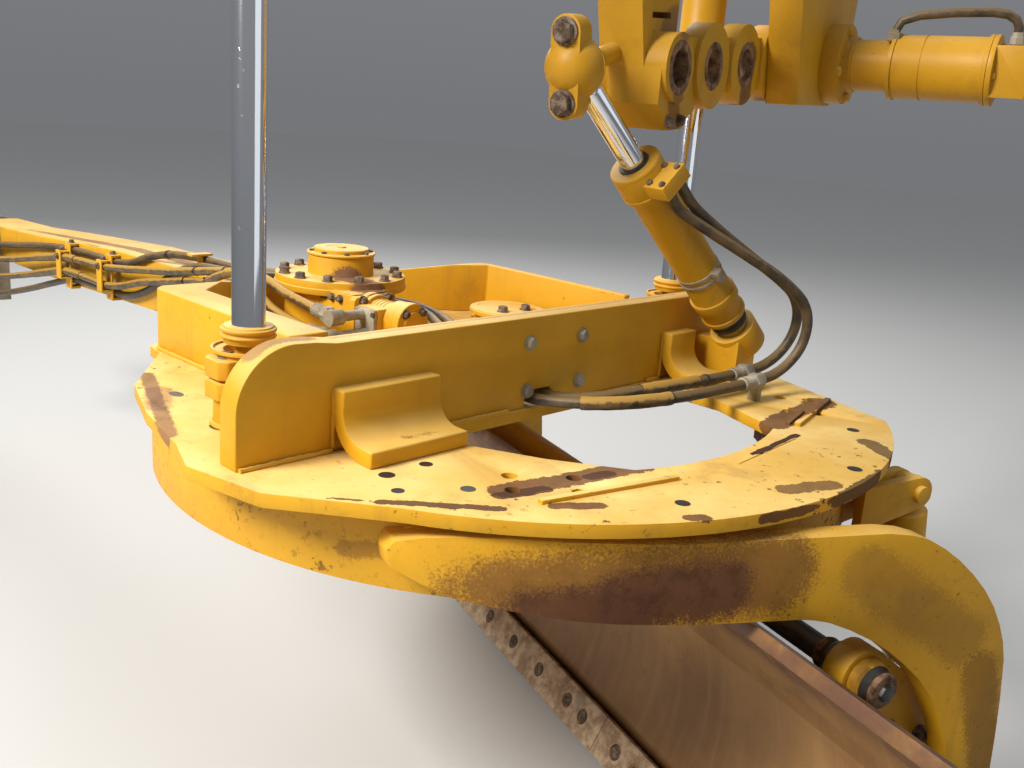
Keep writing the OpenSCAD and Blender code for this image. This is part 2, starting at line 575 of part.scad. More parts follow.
// Side-shift cylinder, along the back of the moldboard
slide_gland = 340;
slide_tube_l = 1300;
module side_shift_rod() color(dark) in_circle() translate([slide_axis.x, 0, slide_axis.y]) rotate([-90, 0, 0]) {
  translate([0, 0, slide_gland - 880]) cylinder(h = bracket_y - 40 - slide_gland + 880, r = slide_rod_d / 2);
  // the joint in the bracket's horn, and its nut
  translate([0, 0, bracket_y]) {
    translate([0, 0, -55]) cylinder(h = 20, r1 = 34, r2 = 44);
    translate([0, 0, -35]) cylinder(h = 78, r = 44);
    translate([0, 0, 43]) cylinder(h = 22, r1 = 42, r2 = 24);
    translate([0, 0, 65]) cylinder(h = 14, r = 16, $fn = 6);
  }
}
module side_shift_barrel() color(yellow) in_circle() difference() {
  union() {
    translate([slide_axis.x, slide_gland - slide_tube_l, slide_axis.y]) rotate([-90, 0, 0]) {
      cylinder(h = slide_tube_l, r = slide_tube_d / 2);
      translate([0, 0, slide_tube_l - 40]) cylinder(h = 40, r = slide_tube_d / 2 + 5);
    }
    // the lug that carries the closed end on the moldboard
    slab_y(slide_gland - slide_tube_l - 22, 44) difference() {
      polygon([slide_axis + [0, 40], slide_axis + [0, -40], [-200, slide_axis.y - 40], [-200, slide_axis.y + 40]]);
      translate(blade_c) circle(r = blade_r + blade_t, $fn = 180);
    }
    slab_y(slide_gland - slide_tube_l - 22, 44) translate(slide_axis) circle(r = 45);
  }
  translate([slide_axis.x, slide_gland - slide_tube_l + 20, slide_axis.y]) rotate([-90, 0, 0])
    cylinder(h = slide_tube_l, r = slide_rod_d / 2 + fit);
}

module lift_rod(s) color(steel) in_yoke() translate([rod_x, s * rod_y, 0]) {
  translate([0, 0, ball_z]) sphere(r = lift_ball_r);
  translate([0, 0, ball_z]) cylinder(h = 60, r = 24);
  translate([0, 0, 152]) cylinder(h = collar_top - 152, r = 44);
  translate([0, 0, collar_top]) cylinder(h = lift_bare + 480, d = lift_rod_d);
}
module lift_rod_left() lift_rod(1);
module lift_rod_right() lift_rod(-1);
module lift_barrel(s) color(yellow) in_yoke() translate([rod_x, s * rod_y, gland_z]) difference() {
  union() {
    cylinder(h = 45, d = lift_tube_d + 14);
    translate([0, 0, 45]) cylinder(h = lift_tube_l - 45, d = lift_tube_d);
    translate([0, 0, lift_tube_l]) cylinder(h = 20, d = lift_tube_d - 20);
    // trunnion ring with its two pins
    translate([-66, -75, trunnion_up - 45]) cube([132, 150, 90]);
    translate([0, -trunnion_reach, trunnion_up]) rotate([-90, 0, 0]) cylinder(h = 2 * trunnion_reach, r = 30);
  }
  translate([0, 0, -1]) cylinder(h = lift_tube_l - 50, d = lift_rod_d + 2 * fit);
}
trunnion_up = 390;
trunnion_reach = 135;
module lift_barrel_left() lift_barrel(1);
module lift_barrel_right() lift_barrel(-1);

shift_len = norm(shift_high - shift_low);
module shift_barrel() color(yellow) in_yoke() along(shift_low, shift_high) {
  sphere(r = 38);
  difference() {
    union() {
      cylinder(h = 80, r = 24);
      translate([0, 0, 62]) cylinder(h = shift_tube_l - 62, d = shift_tube_d);
      translate([0, 0, shift_tube_l - 62]) cylinder(h = 62, d = shift_tube_d + 16);
      translate([-38, 30, hose_seat]) cube([76, 72, 34]);
      translate([0, 0, 112]) cylinder(h = 26, d = shift_tube_d + 12);
    }
    translate([0, 0, 130]) cylinder(h = 600, d = shift_rod_d + 2 * fit);
  }
}
shift_tube_l = 540;
hose_seat = 0.61 * norm(shift_high - shift_low); // where the hoses end along the centre-shift barrel
module shift_rod() color(steel) difference() {
  union() {
    in_yoke() along(shift_low, shift_high) {
      translate([0, 0, 160]) cylinder(h = shift_len - 160 - 60, d = shift_rod_d);
      translate([0, 0, shift_len - 62]) cylinder(h = 40, r1 = shift_rod_d / 2, r2 = 22);
    }
    // the rear half of the socket round the ball
    in_link() difference() {
      sphere(r = 58);
      translate([-100, -100, -100]) cube([100, 200, 200]);
    }
  }
  in_link() {
    sphere(r = head_r + fit);
    rotate([0, 90 - neck_rise, 0]) cylinder(h = 90, r1 = 0, r2 = 66);
  }
}

// Link bar frame: X along the bar to the right, -Y to the rear along the holes, at the upper ball
module in_link() in_yoke() translate(shift_high) rotate(link_turn) rotate([0, -link_tilt, 0]) children();
// A round boss along the holes, from w0 to w1 towards the rear
module boss(u, z, w0, w1, r) translate([u, -w0, z]) rotate([90, 0, 0]) cylinder(h = w1 - w0, r = r);
head_r = 38;
neck_rise = 10;
hub_u = 228;
hub_far = hub_u + 1364;
hub_r = 71;
bar_w = [74, 120];
holes = 6;
lock_u = link_u + 3 * link_pitch;
module ball_cap() color(yellow) in_link() difference() {
  union() {
    difference() {
      sphere(r = 62);
      translate([0, -100, -100]) cube([100, 200, 200]);
    }
    for (s = [-1, 1]) {
      translate([-46, 0, s * 66]) rotate([0, 90, 0]) cylinder(h = 46, r = 32);
      translate([-46, -32, s > 0 ? 20 : -66]) cube([46, 64, 46]);
    }
  }
  sphere(r = head_r + fit);
}
module link_bar() color(yellow) in_link() {
  difference() {
    union() {
      translate([link_u, -bar_w[1] + 14, -62]) cube([(holes - 1) * link_pitch, bar_w[1] - bar_w[0] - 14, 124]);
      for (i = [0 : holes - 1]) boss(link_u + i * link_pitch, 0, bar_w[0] - 4, bar_w[1], link_lobe_r);
    }
    for (i = [0 : holes - 1]) boss(link_u + i * link_pitch, 0, bar_w[0] - 10, bar_w[1] + 1, link_hole_d / 2);
  }
}
// One lift arm: the hub on the bar's end, the block under it and the arm up to its pivot
module lift_arm() difference() {
  union() {
    boss(0, 0, -40, 120, hub_r);
    translate([0, 10, 0]) rotate([90, 0, 0]) linear_extrude(120)
      polygon([[-hub_r, 0], [-hub_r - 6, -70], [-20, -126], [52, -126], [86, -100], [112, -92], [112, 60], [30, 60]]);
    translate([0, 30, 0]) rotate([90, 0, 0]) linear_extrude(100) difference() {
      polygon([[-hub_r, 0], [-95, 120], [-85, 330], [-55, 470], [75, 470], [100, 330], [85, 130], [hub_r, 0]]);
      translate([-45, 96]) square([90, 12]);
    }
    boss(10, 470, -40, 80, 78);
  }
  boss(0, 0, 20, 121, 40);
  boss(10, 470, -41, 81, 35);
  boss(link_u - hub_u, 0, -100, 200, link_lobe_r + 0.2);
}
module lift_arm_left() color(yellow) in_link() {
  translate([hub_u, 0, 0]) lift_arm();
  // the ball and its neck for the centre-shift rod
  rotate([0, 90 - neck_rise, 0]) rotate_extrude() polygon(concat([[0, -head_r]],
    arc([0, 0], head_r, -75, 60, 12), [[22, hub_u - 30], [0, hub_u - 30]]));
}
module lift_arm_right() color(yellow) in_link() translate([hub_far, 0, 0]) mirror([1, 0, 0]) lift_arm();
module saddle_plate() color(yellow) in_link() difference() {
  translate([0, -bar_w[1], 0]) rotate([90, 0, 0]) linear_extrude(85)
    polygon([[700, 300], [770, -95], [1040, -110], [1160, -60], [1230, 300]]);
  boss(lock_u, 0, 100, 300, lock_pin_d / 2 + fit);
}
module lock_cylinder() color(yellow) in_link() difference() {
  union() {
    boss(lock_u, 0, 205, 250, 100);
    boss(lock_u, 0, 250, 370, 64);
    boss(lock_u, 0, 370, 600, 78);
    boss(lock_u, 0, 600, 612, 84);
    translate([lock_u - 60, -690, -60]) cube([120, 78, 120]);
  }
  boss(lock_u, 0, 200, 520, lock_pin_d / 2 + fit);
}
module lock_pin() color(steel) in_link() boss(lock_u, 0, 45, 400, lock_pin_d / 2);

module hose_motor_upper() color(dark) in_yoke() hose(route_motor_upper);
module hose_motor_lower() color(dark) in_yoke() hose(route_motor_lower);
module hose_shift_upper() color(dark) in_yoke() hose(route_shift_upper);
module hose_shift_lower() color(dark) in_yoke() hose(route_shift_lower);
module hose_loop_upper() color(dark) in_yoke() hose(route_loop_upper, [1, 0, 0]);
module hose_loop_lower() color(dark) in_yoke() hose(route_loop_lower, [1, 0, 0]);

// Two rows of straps on the tongue: the tall one holds the inner hoses, the short one the outer hoses
module hose_clamps() color(yellow) in_yoke() {
  // x, low end and top of the tall strap, low end and top of the short one
  for (c = [[2056, -137, 24, -100, 0], [1728, -120, 32, -90, 16]]) translate([c[0] - 22, 0, 0]) {
    difference() {
      translate([0, tongue_w / 2, c[1]]) cube([44, 34, c[2] - c[1]]);
      translate([-1, tongue_w / 2 - 1, c[1] + 8]) cube([46, 29, c[2] - c[1] - 16]);
    }
    difference() {
      translate([4, tongue_w / 2 + 34, c[3]]) cube([36, 34, c[4] - c[3]]);
      translate([3, tongue_w / 2 + 33, c[3] + 7]) cube([38, 29, c[4] - c[3] - 14]);
    }
  }
  // the stand on the tongue's top with its strap over the two inner hoses
  difference() {
    union() {
      translate([1195, 95, 30]) cube([20, 9, 78]);
      translate([1190, 66, 105]) cube([30, 68, 7]);
    }
    tongue_shape();
  }
}

// Couplings at the tongue's front, on the motor and behind the cross wall
module hose_fittings() color(steel) {
  port = [-sin(pinion_dir), cos(pinion_dir), 0];
  in_yoke() {
    difference() {
      translate([2856, 60, -330]) cube([12, 130, 300]);
      tongue_shape();
    }
    for (route = [route_motor_upper, route_motor_lower, route_shift_upper, route_shift_lower])
      bar(route[0], route[0] + 50 * unit(route[0] - route[1]), crimp_r);
    for (route = [route_motor_upper, route_motor_lower]) {
      end = route[len(route) - 1];
      elbow = end + 45 * last_way(route);
      bar(end, elbow, crimp_r);
      along(elbow - 19 * port, elbow) cylinder(h = 38, r = 19);
      bar(elbow, elbow - (elbow * port - port_y - 4) * port, 12);
    }
    rotate(pinion_dir) translate([pinion_gap - 288, port_y, 44]) cube([66, 11, 70]);
    for (route = [route_shift_upper, route_shift_lower]) {
      end = route[len(route) - 1];
      bar(end, end + 40 * last_way(route), crimp_r);
      translate([end.x - 12, end.y - 30, 0]) cube([24, 16, end.z]);
    }
  }
}

drawbar_tongue();
drawbar_ball();
yoke_plate();
yoke_walls();
cross_wall();
lift_sockets();
shift_socket();
circle_shoes();
drive_housing();
drive_motor();
drive_pinion();
access_cap();
circle_ring();
circle_arm_left();
circle_arm_right();
tip_lug();
tip_bracket_left();
tip_bracket_right();
tip_barrel();
tip_rod();
side_shift_rod();
side_shift_barrel();
moldboard();
slide_rails();
cutting_edges();
end_bits();
lift_rod_left();
lift_rod_right();
lift_barrel_left();
lift_barrel_right();
shift_barrel();
shift_rod();
ball_cap();
link_bar();
lift_arm_left();
lift_arm_right();
saddle_plate();
lock_cylinder();
lock_pin();
hose_motor_upper();
hose_motor_lower();
hose_shift_upper();
hose_shift_lower();
hose_loop_upper();
hose_loop_lower();
hose_clamps();
hose_fittings();
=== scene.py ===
import json
import math
import random
import bmesh
import bpy
from mathutils import Matrix, Vector

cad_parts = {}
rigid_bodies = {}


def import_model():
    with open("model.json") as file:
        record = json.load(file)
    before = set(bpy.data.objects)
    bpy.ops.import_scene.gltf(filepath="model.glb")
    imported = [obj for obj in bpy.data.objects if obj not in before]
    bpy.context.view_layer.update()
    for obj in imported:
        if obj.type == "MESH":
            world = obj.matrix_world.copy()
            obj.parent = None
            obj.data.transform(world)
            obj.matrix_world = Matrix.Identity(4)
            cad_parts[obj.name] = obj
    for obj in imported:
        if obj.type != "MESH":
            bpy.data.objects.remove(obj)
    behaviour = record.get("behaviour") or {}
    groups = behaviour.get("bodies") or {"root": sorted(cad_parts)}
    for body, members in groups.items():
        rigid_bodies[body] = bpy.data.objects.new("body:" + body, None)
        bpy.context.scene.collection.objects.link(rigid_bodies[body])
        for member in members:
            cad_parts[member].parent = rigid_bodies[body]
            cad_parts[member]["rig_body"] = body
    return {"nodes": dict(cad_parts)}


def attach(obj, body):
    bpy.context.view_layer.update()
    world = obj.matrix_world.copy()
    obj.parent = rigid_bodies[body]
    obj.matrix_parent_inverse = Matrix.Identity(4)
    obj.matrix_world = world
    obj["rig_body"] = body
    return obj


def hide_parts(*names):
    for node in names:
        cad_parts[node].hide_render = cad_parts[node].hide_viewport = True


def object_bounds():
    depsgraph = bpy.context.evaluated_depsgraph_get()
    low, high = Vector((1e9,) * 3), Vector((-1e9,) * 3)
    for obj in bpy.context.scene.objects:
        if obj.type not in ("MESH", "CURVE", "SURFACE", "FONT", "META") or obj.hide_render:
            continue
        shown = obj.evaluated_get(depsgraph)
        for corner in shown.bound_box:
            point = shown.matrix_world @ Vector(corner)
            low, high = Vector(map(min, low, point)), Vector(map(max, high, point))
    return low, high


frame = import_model()
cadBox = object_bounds()
nodes = frame["nodes"]
random.seed(7)
print("frame loaded")

# ---- places in millimetres and turns in degrees ----
places = {"reach": 3300, "rise": 90, "turn": 71, "pinionTurn": 3.5, "pinionGap": 594,
          "shiftLow": (-266, -504, 117), "linkBall": (-172, 54, 679), "linkTurn": -78.1, "linkTilt": 5.2,
          "rod": (32, 650)}
mm = 0.001


def moved(place):
    return Matrix.Translation(place)


def swung(degrees, axis):
    return Matrix.Rotation(math.radians(degrees), 4, axis)


yokeFrame = moved((-places["reach"] / 1000, 0, places["rise"] / 1000)) @ Matrix.Scale(mm, 4)
circleFrame = yokeFrame @ swung(places["turn"], "Z")
driveFrame = yokeFrame @ swung(places["pinionTurn"], "Z") @ moved((places["pinionGap"], 0, 0))
linkFrame = yokeFrame @ moved(places["linkBall"]) @ swung(places["linkTurn"], "Z") @ swung(-places["linkTilt"], "Y")


def frameAlong(low, high):
    # a frame in the low point whose Z runs to the high one
    way = Vector(high) - Vector(low)
    heading = math.degrees(math.atan2(way.y, way.x))
    tilt = math.degrees(math.acos(way.z / way.length))
    return yokeFrame @ moved(low) @ swung(heading, "Z") @ swung(tilt, "Y")


shiftFrame = frameAlong(places["shiftLow"], places["linkBall"])

# ---- camera ----
shot = {"place": (-1519, 1596, 587), "right": (-0.7118, -0.6983, 0.074), "up": (0.2351, -0.1376, 0.9622),
        "focal": 1000, "width": 1024, "sensor": 36, "farthest": 60}
cameraData = bpy.data.cameras.new("viewpoint")
cameraData.sensor_fit = "HORIZONTAL"
cameraData.sensor_width = shot["sensor"]
cameraData.lens = shot["focal"] * shot["sensor"] / shot["width"]
cameraData.clip_end = shot["farthest"]
camera = bpy.data.objects.new("viewpoint", cameraData)
bpy.context.scene.collection.objects.link(camera)
rightWay = Vector(shot["right"]).normalized()
upWay = Vector(shot["up"])
upWay = (upWay - rightWay * upWay.dot(rightWay)).normalized()
backWay = rightWay.cross(upWay)
camera.matrix_world = (moved(yokeFrame @ Vector(shot["place"]))
                       @ Matrix((rightWay, upWay, backWay)).transposed().to_4x4())
bpy.context.scene.camera = camera
bpy.context.scene.view_settings.view_transform = "Standard"
print("camera set")


# ---- shader maths ----
class Wire:
    def __init__(self, finish, socket):
        self.finish = finish
        self.socket = socket

    def maths(self, operation, first, second):
        return self.finish.node("Math", {"operation": operation}, {0: first, 1: second})

    def __add__(self, other):
        return self.maths("ADD", self, other)

    def __radd__(self, other):
        return self.maths("ADD", other, self)

    def __sub__(self, other):
        return self.maths("SUBTRACT", self, other)

    def __rsub__(self, other):
        return self.maths("SUBTRACT", other, self)

    def __mul__(self, other):
        return self.maths("MULTIPLY", self, other)

    def most(self, other):
        return self.maths("MAXIMUM", self, other)


class Finish:
    def __init__(self, name):
        self.material = bpy.data.materials.new(name)
        self.material.use_nodes = True
        self.tree = self.material.node_tree
        self.shader = self.tree.nodes["Principled BSDF"]
        self.place = self.node("TexCoord", output="Object")

    def node(self, kind, settings=None, values=None, output=0):
        made = self.tree.nodes.new("ShaderNode" + kind)
        for key, value in (settings or {}).items():
            setattr(made, key, value)
        for key, value in (values or {}).items():
            self.fill(made.inputs[key], value)
        return Wire(self, made.outputs[output])

    def fill(self, socket, value):
        if isinstance(value, Wire):
            self.tree.links.new(value.socket, socket)
        else:
            socket.default_value = (*value, 1) if socket.type == "RGBA" else value

    def vector(self, operation, first, second, output=0):
        return self.node("VectorMath", {"operation": operation}, {0: first, 1: second}, output)

    def mix(self, mask, first, second):
        return self.node("Mix", {"data_type": "RGBA"}, {0: mask, 6: first, 7: second}, 2)

    def noiseAt(self, at, scale, detail, rough):
        return self.node("TexNoise", values={"Vector": at, "Scale": scale, "Detail": detail, "Roughness": rough})

    def noise(self, scale, detail=4, rough=0.55, stretch=None):
        at = self.node("Mapping", values={0: self.place, 3: stretch}) if stretch else self.place
        return self.noiseAt(at, scale, detail, rough)

    def ease(self, value, low, high):
        return self.node("MapRange", {"interpolation_type": "SMOOTHSTEP"}, {0: value, 1: low, 2: high})

    def cloud(self, scale, detail, rough, low, high):
        # a noise whose values between low and high spread over 0 to 1
        return self.ease(self.noise(scale, detail, rough), low, high)

    def beside(self, start, end):
        # distance from the straight line between two points
        start, end = Vector(start), Vector(end)
        way = end - start
        off = self.vector("SUBTRACT", self.place, tuple(start))
        share = self.vector("DOT_PRODUCT", off, tuple(way / way.length_squared), 1)
        held = self.node("Clamp", values={0: share})
        nearest = self.node("VectorMath", {"operation": "SCALE"}, {0: tuple(way), 3: held})
        return self.vector("DISTANCE", off, nearest, 1)

    def along(self, way, low, high):
        return self.ease(self.vector("DOT_PRODUCT", self.place, way, 1), low, high)

    def height(self):
        return self.node("SeparateXYZ", values={0: self.place}, output=2)

    def upward(self):
        normal = self.node("NewGeometry", output="Normal")
        return self.node("SeparateXYZ", values={0: normal}, output=2)

    def finish(self, colour, roughness, metallic=0.0, bump=None, coat=0.0, gleam=0.5, coatRoughness=0.25):
        # bump is its height, strength and distance in metres
        values = {"Base Color": colour, "Roughness": roughness, "Metallic": metallic, "Coat Weight": coat,
                  "Specular IOR Level": gleam, "Coat Roughness": coatRoughness}
        if bump:
            relief = dict(zip(("Height", "Strength", "Distance"), bump))
            values["Normal"] = self.node("Bump", values=relief, output="Normal")
        for key, value in values.items():
            self.fill(self.shader.inputs[key], value)
        return self.material


# ---- finishes ----
# pale is the colour of the painted top light that upward faces get in the worn paint
paintLook = {"sun": (0.64, 0.33, 0.012), "shade": (0.48, 0.235, 0.007), "pale": (0.85, 0.61, 0.23),
             "rust": (0.06, 0.02, 0.008), "primer": (0.16, 0.075, 0.06), "dirt": (0.13, 0.075, 0.03),
             "brown": (0.125, 0.045, 0.018), "burnt": (0.06, 0.022, 0.012)}
# each noise of the paint: scale, detail, roughness, and the two values that it is eased between
paintNoise = {"top_light_patches": (5.3, 5, 0.55, 0.3, 0.75), "grime": (7.7, 8, 0.7, 0.52, 0.75),
              "field": (4.4, 4, 0.6, 0.46, 0.66), "blotch": (31, 6, 0.7, 0.45, 0.65)}


def wornPaint(name, chips=0.35, fleck=60, dirt=0.3, painted_top_light=0.4, gloss=0.42, marks=(), streaks=0.2, tone=1.0):
    look = paintLook
    f = Finish(name)
    broad = f.noise(3.1, 5, 0.6)
    fine = f.noise(38, 6, 0.65)
    sun, shade = (tuple(c * tone for c in look[kind]) for kind in ("sun", "shade"))
    colour = f.mix(f.ease(broad, 0.35, 0.7) * 0.6, sun, shade)
    # Upward-facing faces are painted paler: a painted top light from above, made patchy by a noise, its strength set
    # per finish.
    top = f.ease(f.upward(), 0.3, 0.9)
    colour = f.mix(top * (f.cloud(*paintNoise["top_light_patches"]) * 0.6 + 0.4) * painted_top_light, colour, look["pale"])
    # grime that lies in blotches, and thin runs down the sides
    grime = f.cloud(*paintNoise["grime"]) * dirt
    run = f.ease(f.noise(16, 5, 0.6, stretch=(1, 1, 0.07)), 0.56, 0.74) * streaks * (1 - top)
    colour = f.mix(grime.most(run), colour, look["dirt"])
    # chips down to the rust; more chips means that more of the noise counts
    bare = 0.7 - 0.16 * chips
    speck = f.cloud(fleck, 5, 0.72, bare, bare + 0.04)
    wear = speck * (f.cloud(*paintNoise["field"]) * 0.9 + 0.1)
    colour = f.mix(wear * 0.9, colour, look["rust"])
    ragged = (f.noise(26, 8, 0.75) - 0.5) * 1.6
    grit = f.noise(210, 4, 0.7) - 0.5
    blotch = f.cloud(*paintNoise["blotch"]) * 0.7
    for start, end, half, kind, strength, soft in marks:
        edge = 1 - f.ease(f.beside(start, end), half * 0.3, half * 1.6)
        spray = ragged * (1 - 0.5 * soft) + grit * (0.25 + 1.1 * soft)
        patch = f.ease(edge + spray, 0.5 - 0.16 * soft, 0.57 + 0.3 * soft) * strength
        colour = f.mix(patch, colour, f.mix(blotch, look[kind], look["rust"]))
        wear = wear.most(patch)
    roughness = f.ease(broad + fine * 0.3, 0.2, 1.0) * 0.2 + (gloss + wear * 0.3)
    height = f.noise(260, 3, 0.5) * 0.25 + fine * 0.5 - wear * 0.6
    return f.finish(colour, roughness, 0.0, (height, 0.35, 0.0006), 0.02, 0.3)


def chromeRod(name, collarTop=None):
    f = Finish(name)
    smear = f.noise(9, 5, 0.6, stretch=(1, 1, 0.25))
    film = f.ease(smear, 0.5, 0.8) * 0.16
    speck = f.cloud(95, 3, 0.6, 0.66, 0.7) * 0.5
    colour = f.mix(film.most(speck * 0.6), (0.8, 0.81, 0.83), (0.36, 0.3, 0.22))
    roughness = film * 0.8 + 0.08 + speck * 0.3
    metal = 1.0
    if collarTop is not None:
        # below the collar the same piece is painted
        painted = 1 - f.along((0, 0, 1), collarTop, collarTop + 0.0015)
        paint = f.mix(f.cloud(6, 5, 0.55, 0.35, 0.7) * 0.6, paintLook["sun"], paintLook["shade"])
        colour = f.mix(painted, colour, paint)
        roughness = f.node("Mix", values={0: painted, 2: roughness, 3: 0.45})
        metal = 1 - painted
    return f.finish(colour, roughness, metal, (f.noise(420, 2, 0.5, stretch=(1, 1, 0.03)), 0.08, 0.0002))


def rustySteel(name, bright=(0.3, 0.17, 0.085), deep=(0.055, 0.024, 0.012), shine=0.25, scale=42, polish=0.0):
    f = Finish(name)
    grain = f.noise(scale, 8, 0.7)
    colour = f.mix(f.ease(grain, 0.36, 0.66), deep, bright)
    pale = f.cloud(scale * 0.4, 5, 0.6, 0.58, 0.75) * polish
    colour = f.mix(pale, colour, (0.42, 0.4, 0.38))
    return f.finish(colour, 0.72 - pale * 0.35, pale * 0.8 + shine, (grain, 0.5, 0.0009))


# the blade's grain: scale across its length, scale up its face, offset, detail
bladeNoise = {"grain": (240, 4, 0.0, 5), "band": (34, 1.6, 3.0, 6), "broad": (3, 2.2, 7.0, 5)}
# a darker blotchy band along the blade's upper edge: its height above the yoke plate's frame, and how far the band
# reaches down
bladeTop = {"height": places["rise"] / 1000 - 0.335, "fall": 0.05}


def bladeSteel(name):
    f = Finish(name)
    turn = math.radians(places["turn"])
    span = f.vector("DOT_PRODUCT", f.place, (-math.sin(turn), math.cos(turn), 0), 1)
    high = f.height()
    noises = {}
    for kind, (across, up, offset, detail) in bladeNoise.items():
        at = f.node("CombineXYZ", values={0: span * across, 1: high * up, 2: offset})
        noises[kind] = f.noiseAt(at, 1.0, detail, 0.6)
    grain = noises["grain"]
    colour = f.mix(f.ease(noises["broad"], 0.34, 0.68), (0.19, 0.09, 0.026), (0.3, 0.155, 0.048))
    colour = f.mix(f.ease(noises["band"], 0.45, 0.75) * 0.3, colour, (0.38, 0.22, 0.08))
    colour = f.mix(f.ease(grain, 0.55, 0.75) * 0.22, colour, (0.42, 0.27, 0.11))
    colour = f.mix(f.cloud(11, 8, 0.75, 0.55, 0.72) * 0.5, colour, (0.1, 0.045, 0.02))
    top = f.along((0, 0, 1), bladeTop["height"] - bladeTop["fall"], bladeTop["height"])
    colour = f.mix(top * f.cloud(14, 6, 0.7, 0.25, 0.6) * 0.85, colour, (0.105, 0.045, 0.026))
    roughness = f.ease(grain, 0.3, 0.8) * 0.2 + 0.42
    return f.finish(colour, roughness, 0.15, (grain * 0.4 + f.noise(90, 5, 0.7) * 0.5, 0.22, 0.0007))


def rubber(name, tone, dust, film=(0.17, 0.13, 0.085), spread=21.0, fall=0.0):
    f = Finish(name)
    cover = f.cloud(spread, 6, 0.65, 0.34, 0.68) * dust
    if fall:
        # overspray and dust that fell from above lie on the upper side
        cover = cover.most(f.ease(f.upward() + (f.noise(70, 6, 0.75) - 0.5) * 1.6, 0.05, 0.55) * fall)
    colour = f.mix(cover, tone, film)
    return f.finish(colour, cover * 0.15 + 0.45, 0.0, (f.noise(330, 4, 0.6), 0.3, 0.0004))


def worn(at, *rows):
    # a row: from one point to another, half width in metres, what shows, how strong, how soft its edge is
    usual = (0.9, 0.0)
    return [(tuple(at @ Vector(start)), tuple(at @ Vector(end)), half, kind, *look, *usual[len(look):])
            for start, end, half, kind, *look in rows]


plateWear = worn(
    yokeFrame,
    ((-488, 500, 0), (-545, 215, 0), 0.03, "brown"), ((-500, 520, 0), (-520, 440, 0), 0.016, "rust"),
    ((-527, 335, 0), (-535, 290, 0), 0.014, "rust"), ((-580, 480, 0), (-620, 420, 0), 0.014, "brown"),
    ((-549, -235, 0), (-520, -500, 0), 0.034, "brown"), ((-629, -28, 0), (-615, -213, 0), 0.009, "burnt", 1.0),
    ((-765, 95, 0), (-800, 0, 0), 0.022, "brown", 0.8), ((-725, -300, -8), (-800, -255, -8), 0.026, "burnt", 0.8),
    ((-828, -150, -10), (-842, 60, -10), 0.018, "burnt", 0.85), ((-842, 60, -10), (-800, 225, -10), 0.01, "brown"),
    ((-352, 746, -8), (-405, 696, -8), 0.009, "brown"), ((-410, 690, -8), (-540, 556, -8), 0.014, "burnt", 0.9),
    ((-738, 340, 0), (-750, 320, 0), 0.014, "brown"), ((420, 655, -6), (40, 800, -6), 0.018, "primer", 0.75, 0.6),
    ((300, 690, 0), (200, 740, 0), 0.03, "primer", 0.5, 0.8),
    ((-205, 500, 0), (-215, 440, 0), 0.014, "brown", 0.8, 0.4))
skirtWear = worn(
    yokeFrame,
    ((-330, 700, -110), (-420, 650, -90), 0.02, "brown", 0.5, 0.8),
    ((-500, 600, -45), (-780, 80, -40), 0.012, "burnt", 0.7, 0.4))
armWear = worn(
    yokeFrame,
    ((-610, 585, -150), (-700, 415, -152), 0.05, "burnt", 0.9, 1.0),
    ((-690, 430, -140), (-775, 275, -128), 0.062, "burnt", 0.9, 1.0),
    ((-560, 675, -130), (-820, 190, -110), 0.085, "brown", 0.75, 1.0),
    ((-905, 35, -118), (-1020, -160, -265), 0.06, "brown", 0.35, 1.0),
    ((-1040, -210, -330), (-1090, -290, -640), 0.045, "brown", 0.55, 1.0))
wallWear = worn(
    yokeFrame,
    ((-150, 760, 186), (-150, 650, 203), 0.022, "primer", 0.6, 0.9),
    ((-150, 600, 194), (-150, -400, 194), 0.006, "primer", 0.35, 0.5),
    ((-262, 520, 14), (-272, 450, 10), 0.02, "brown", 0.75, 0.6))
linkWear = worn(
    linkFrame,
    ((250, -100, 80), (300, -60, 90), 0.04, "primer", 0.6, 0.6),
    ((640, -110, 20), (620, -110, -90), 0.04, "brown", 0.8, 0.3),
    ((820, -110, 30), (800, -110, -80), 0.035, "brown", 0.6, 0.4),
    ((228, -110, -50), (240, -110, -120), 0.03, "brown", 0.6, 0.6))
driveWear = worn(
    driveFrame,
    ((-185, 40, 131), (-70, 40, 131), 0.05, "primer", 0.85, 0.5),
    ((-140, -40, 60), (-120, 90, 60), 0.04, "primer", 0.5, 0.8))
tongueWear = worn(
    yokeFrame,
    ((2700, 40, 10), (1250, 30, 56), 0.03, "primer", 0.75, 0.7),
    ((2300, 90, 30), (1900, 100, 40), 0.014, "brown", 0.6, 0.5))
liftCollarTop = 184
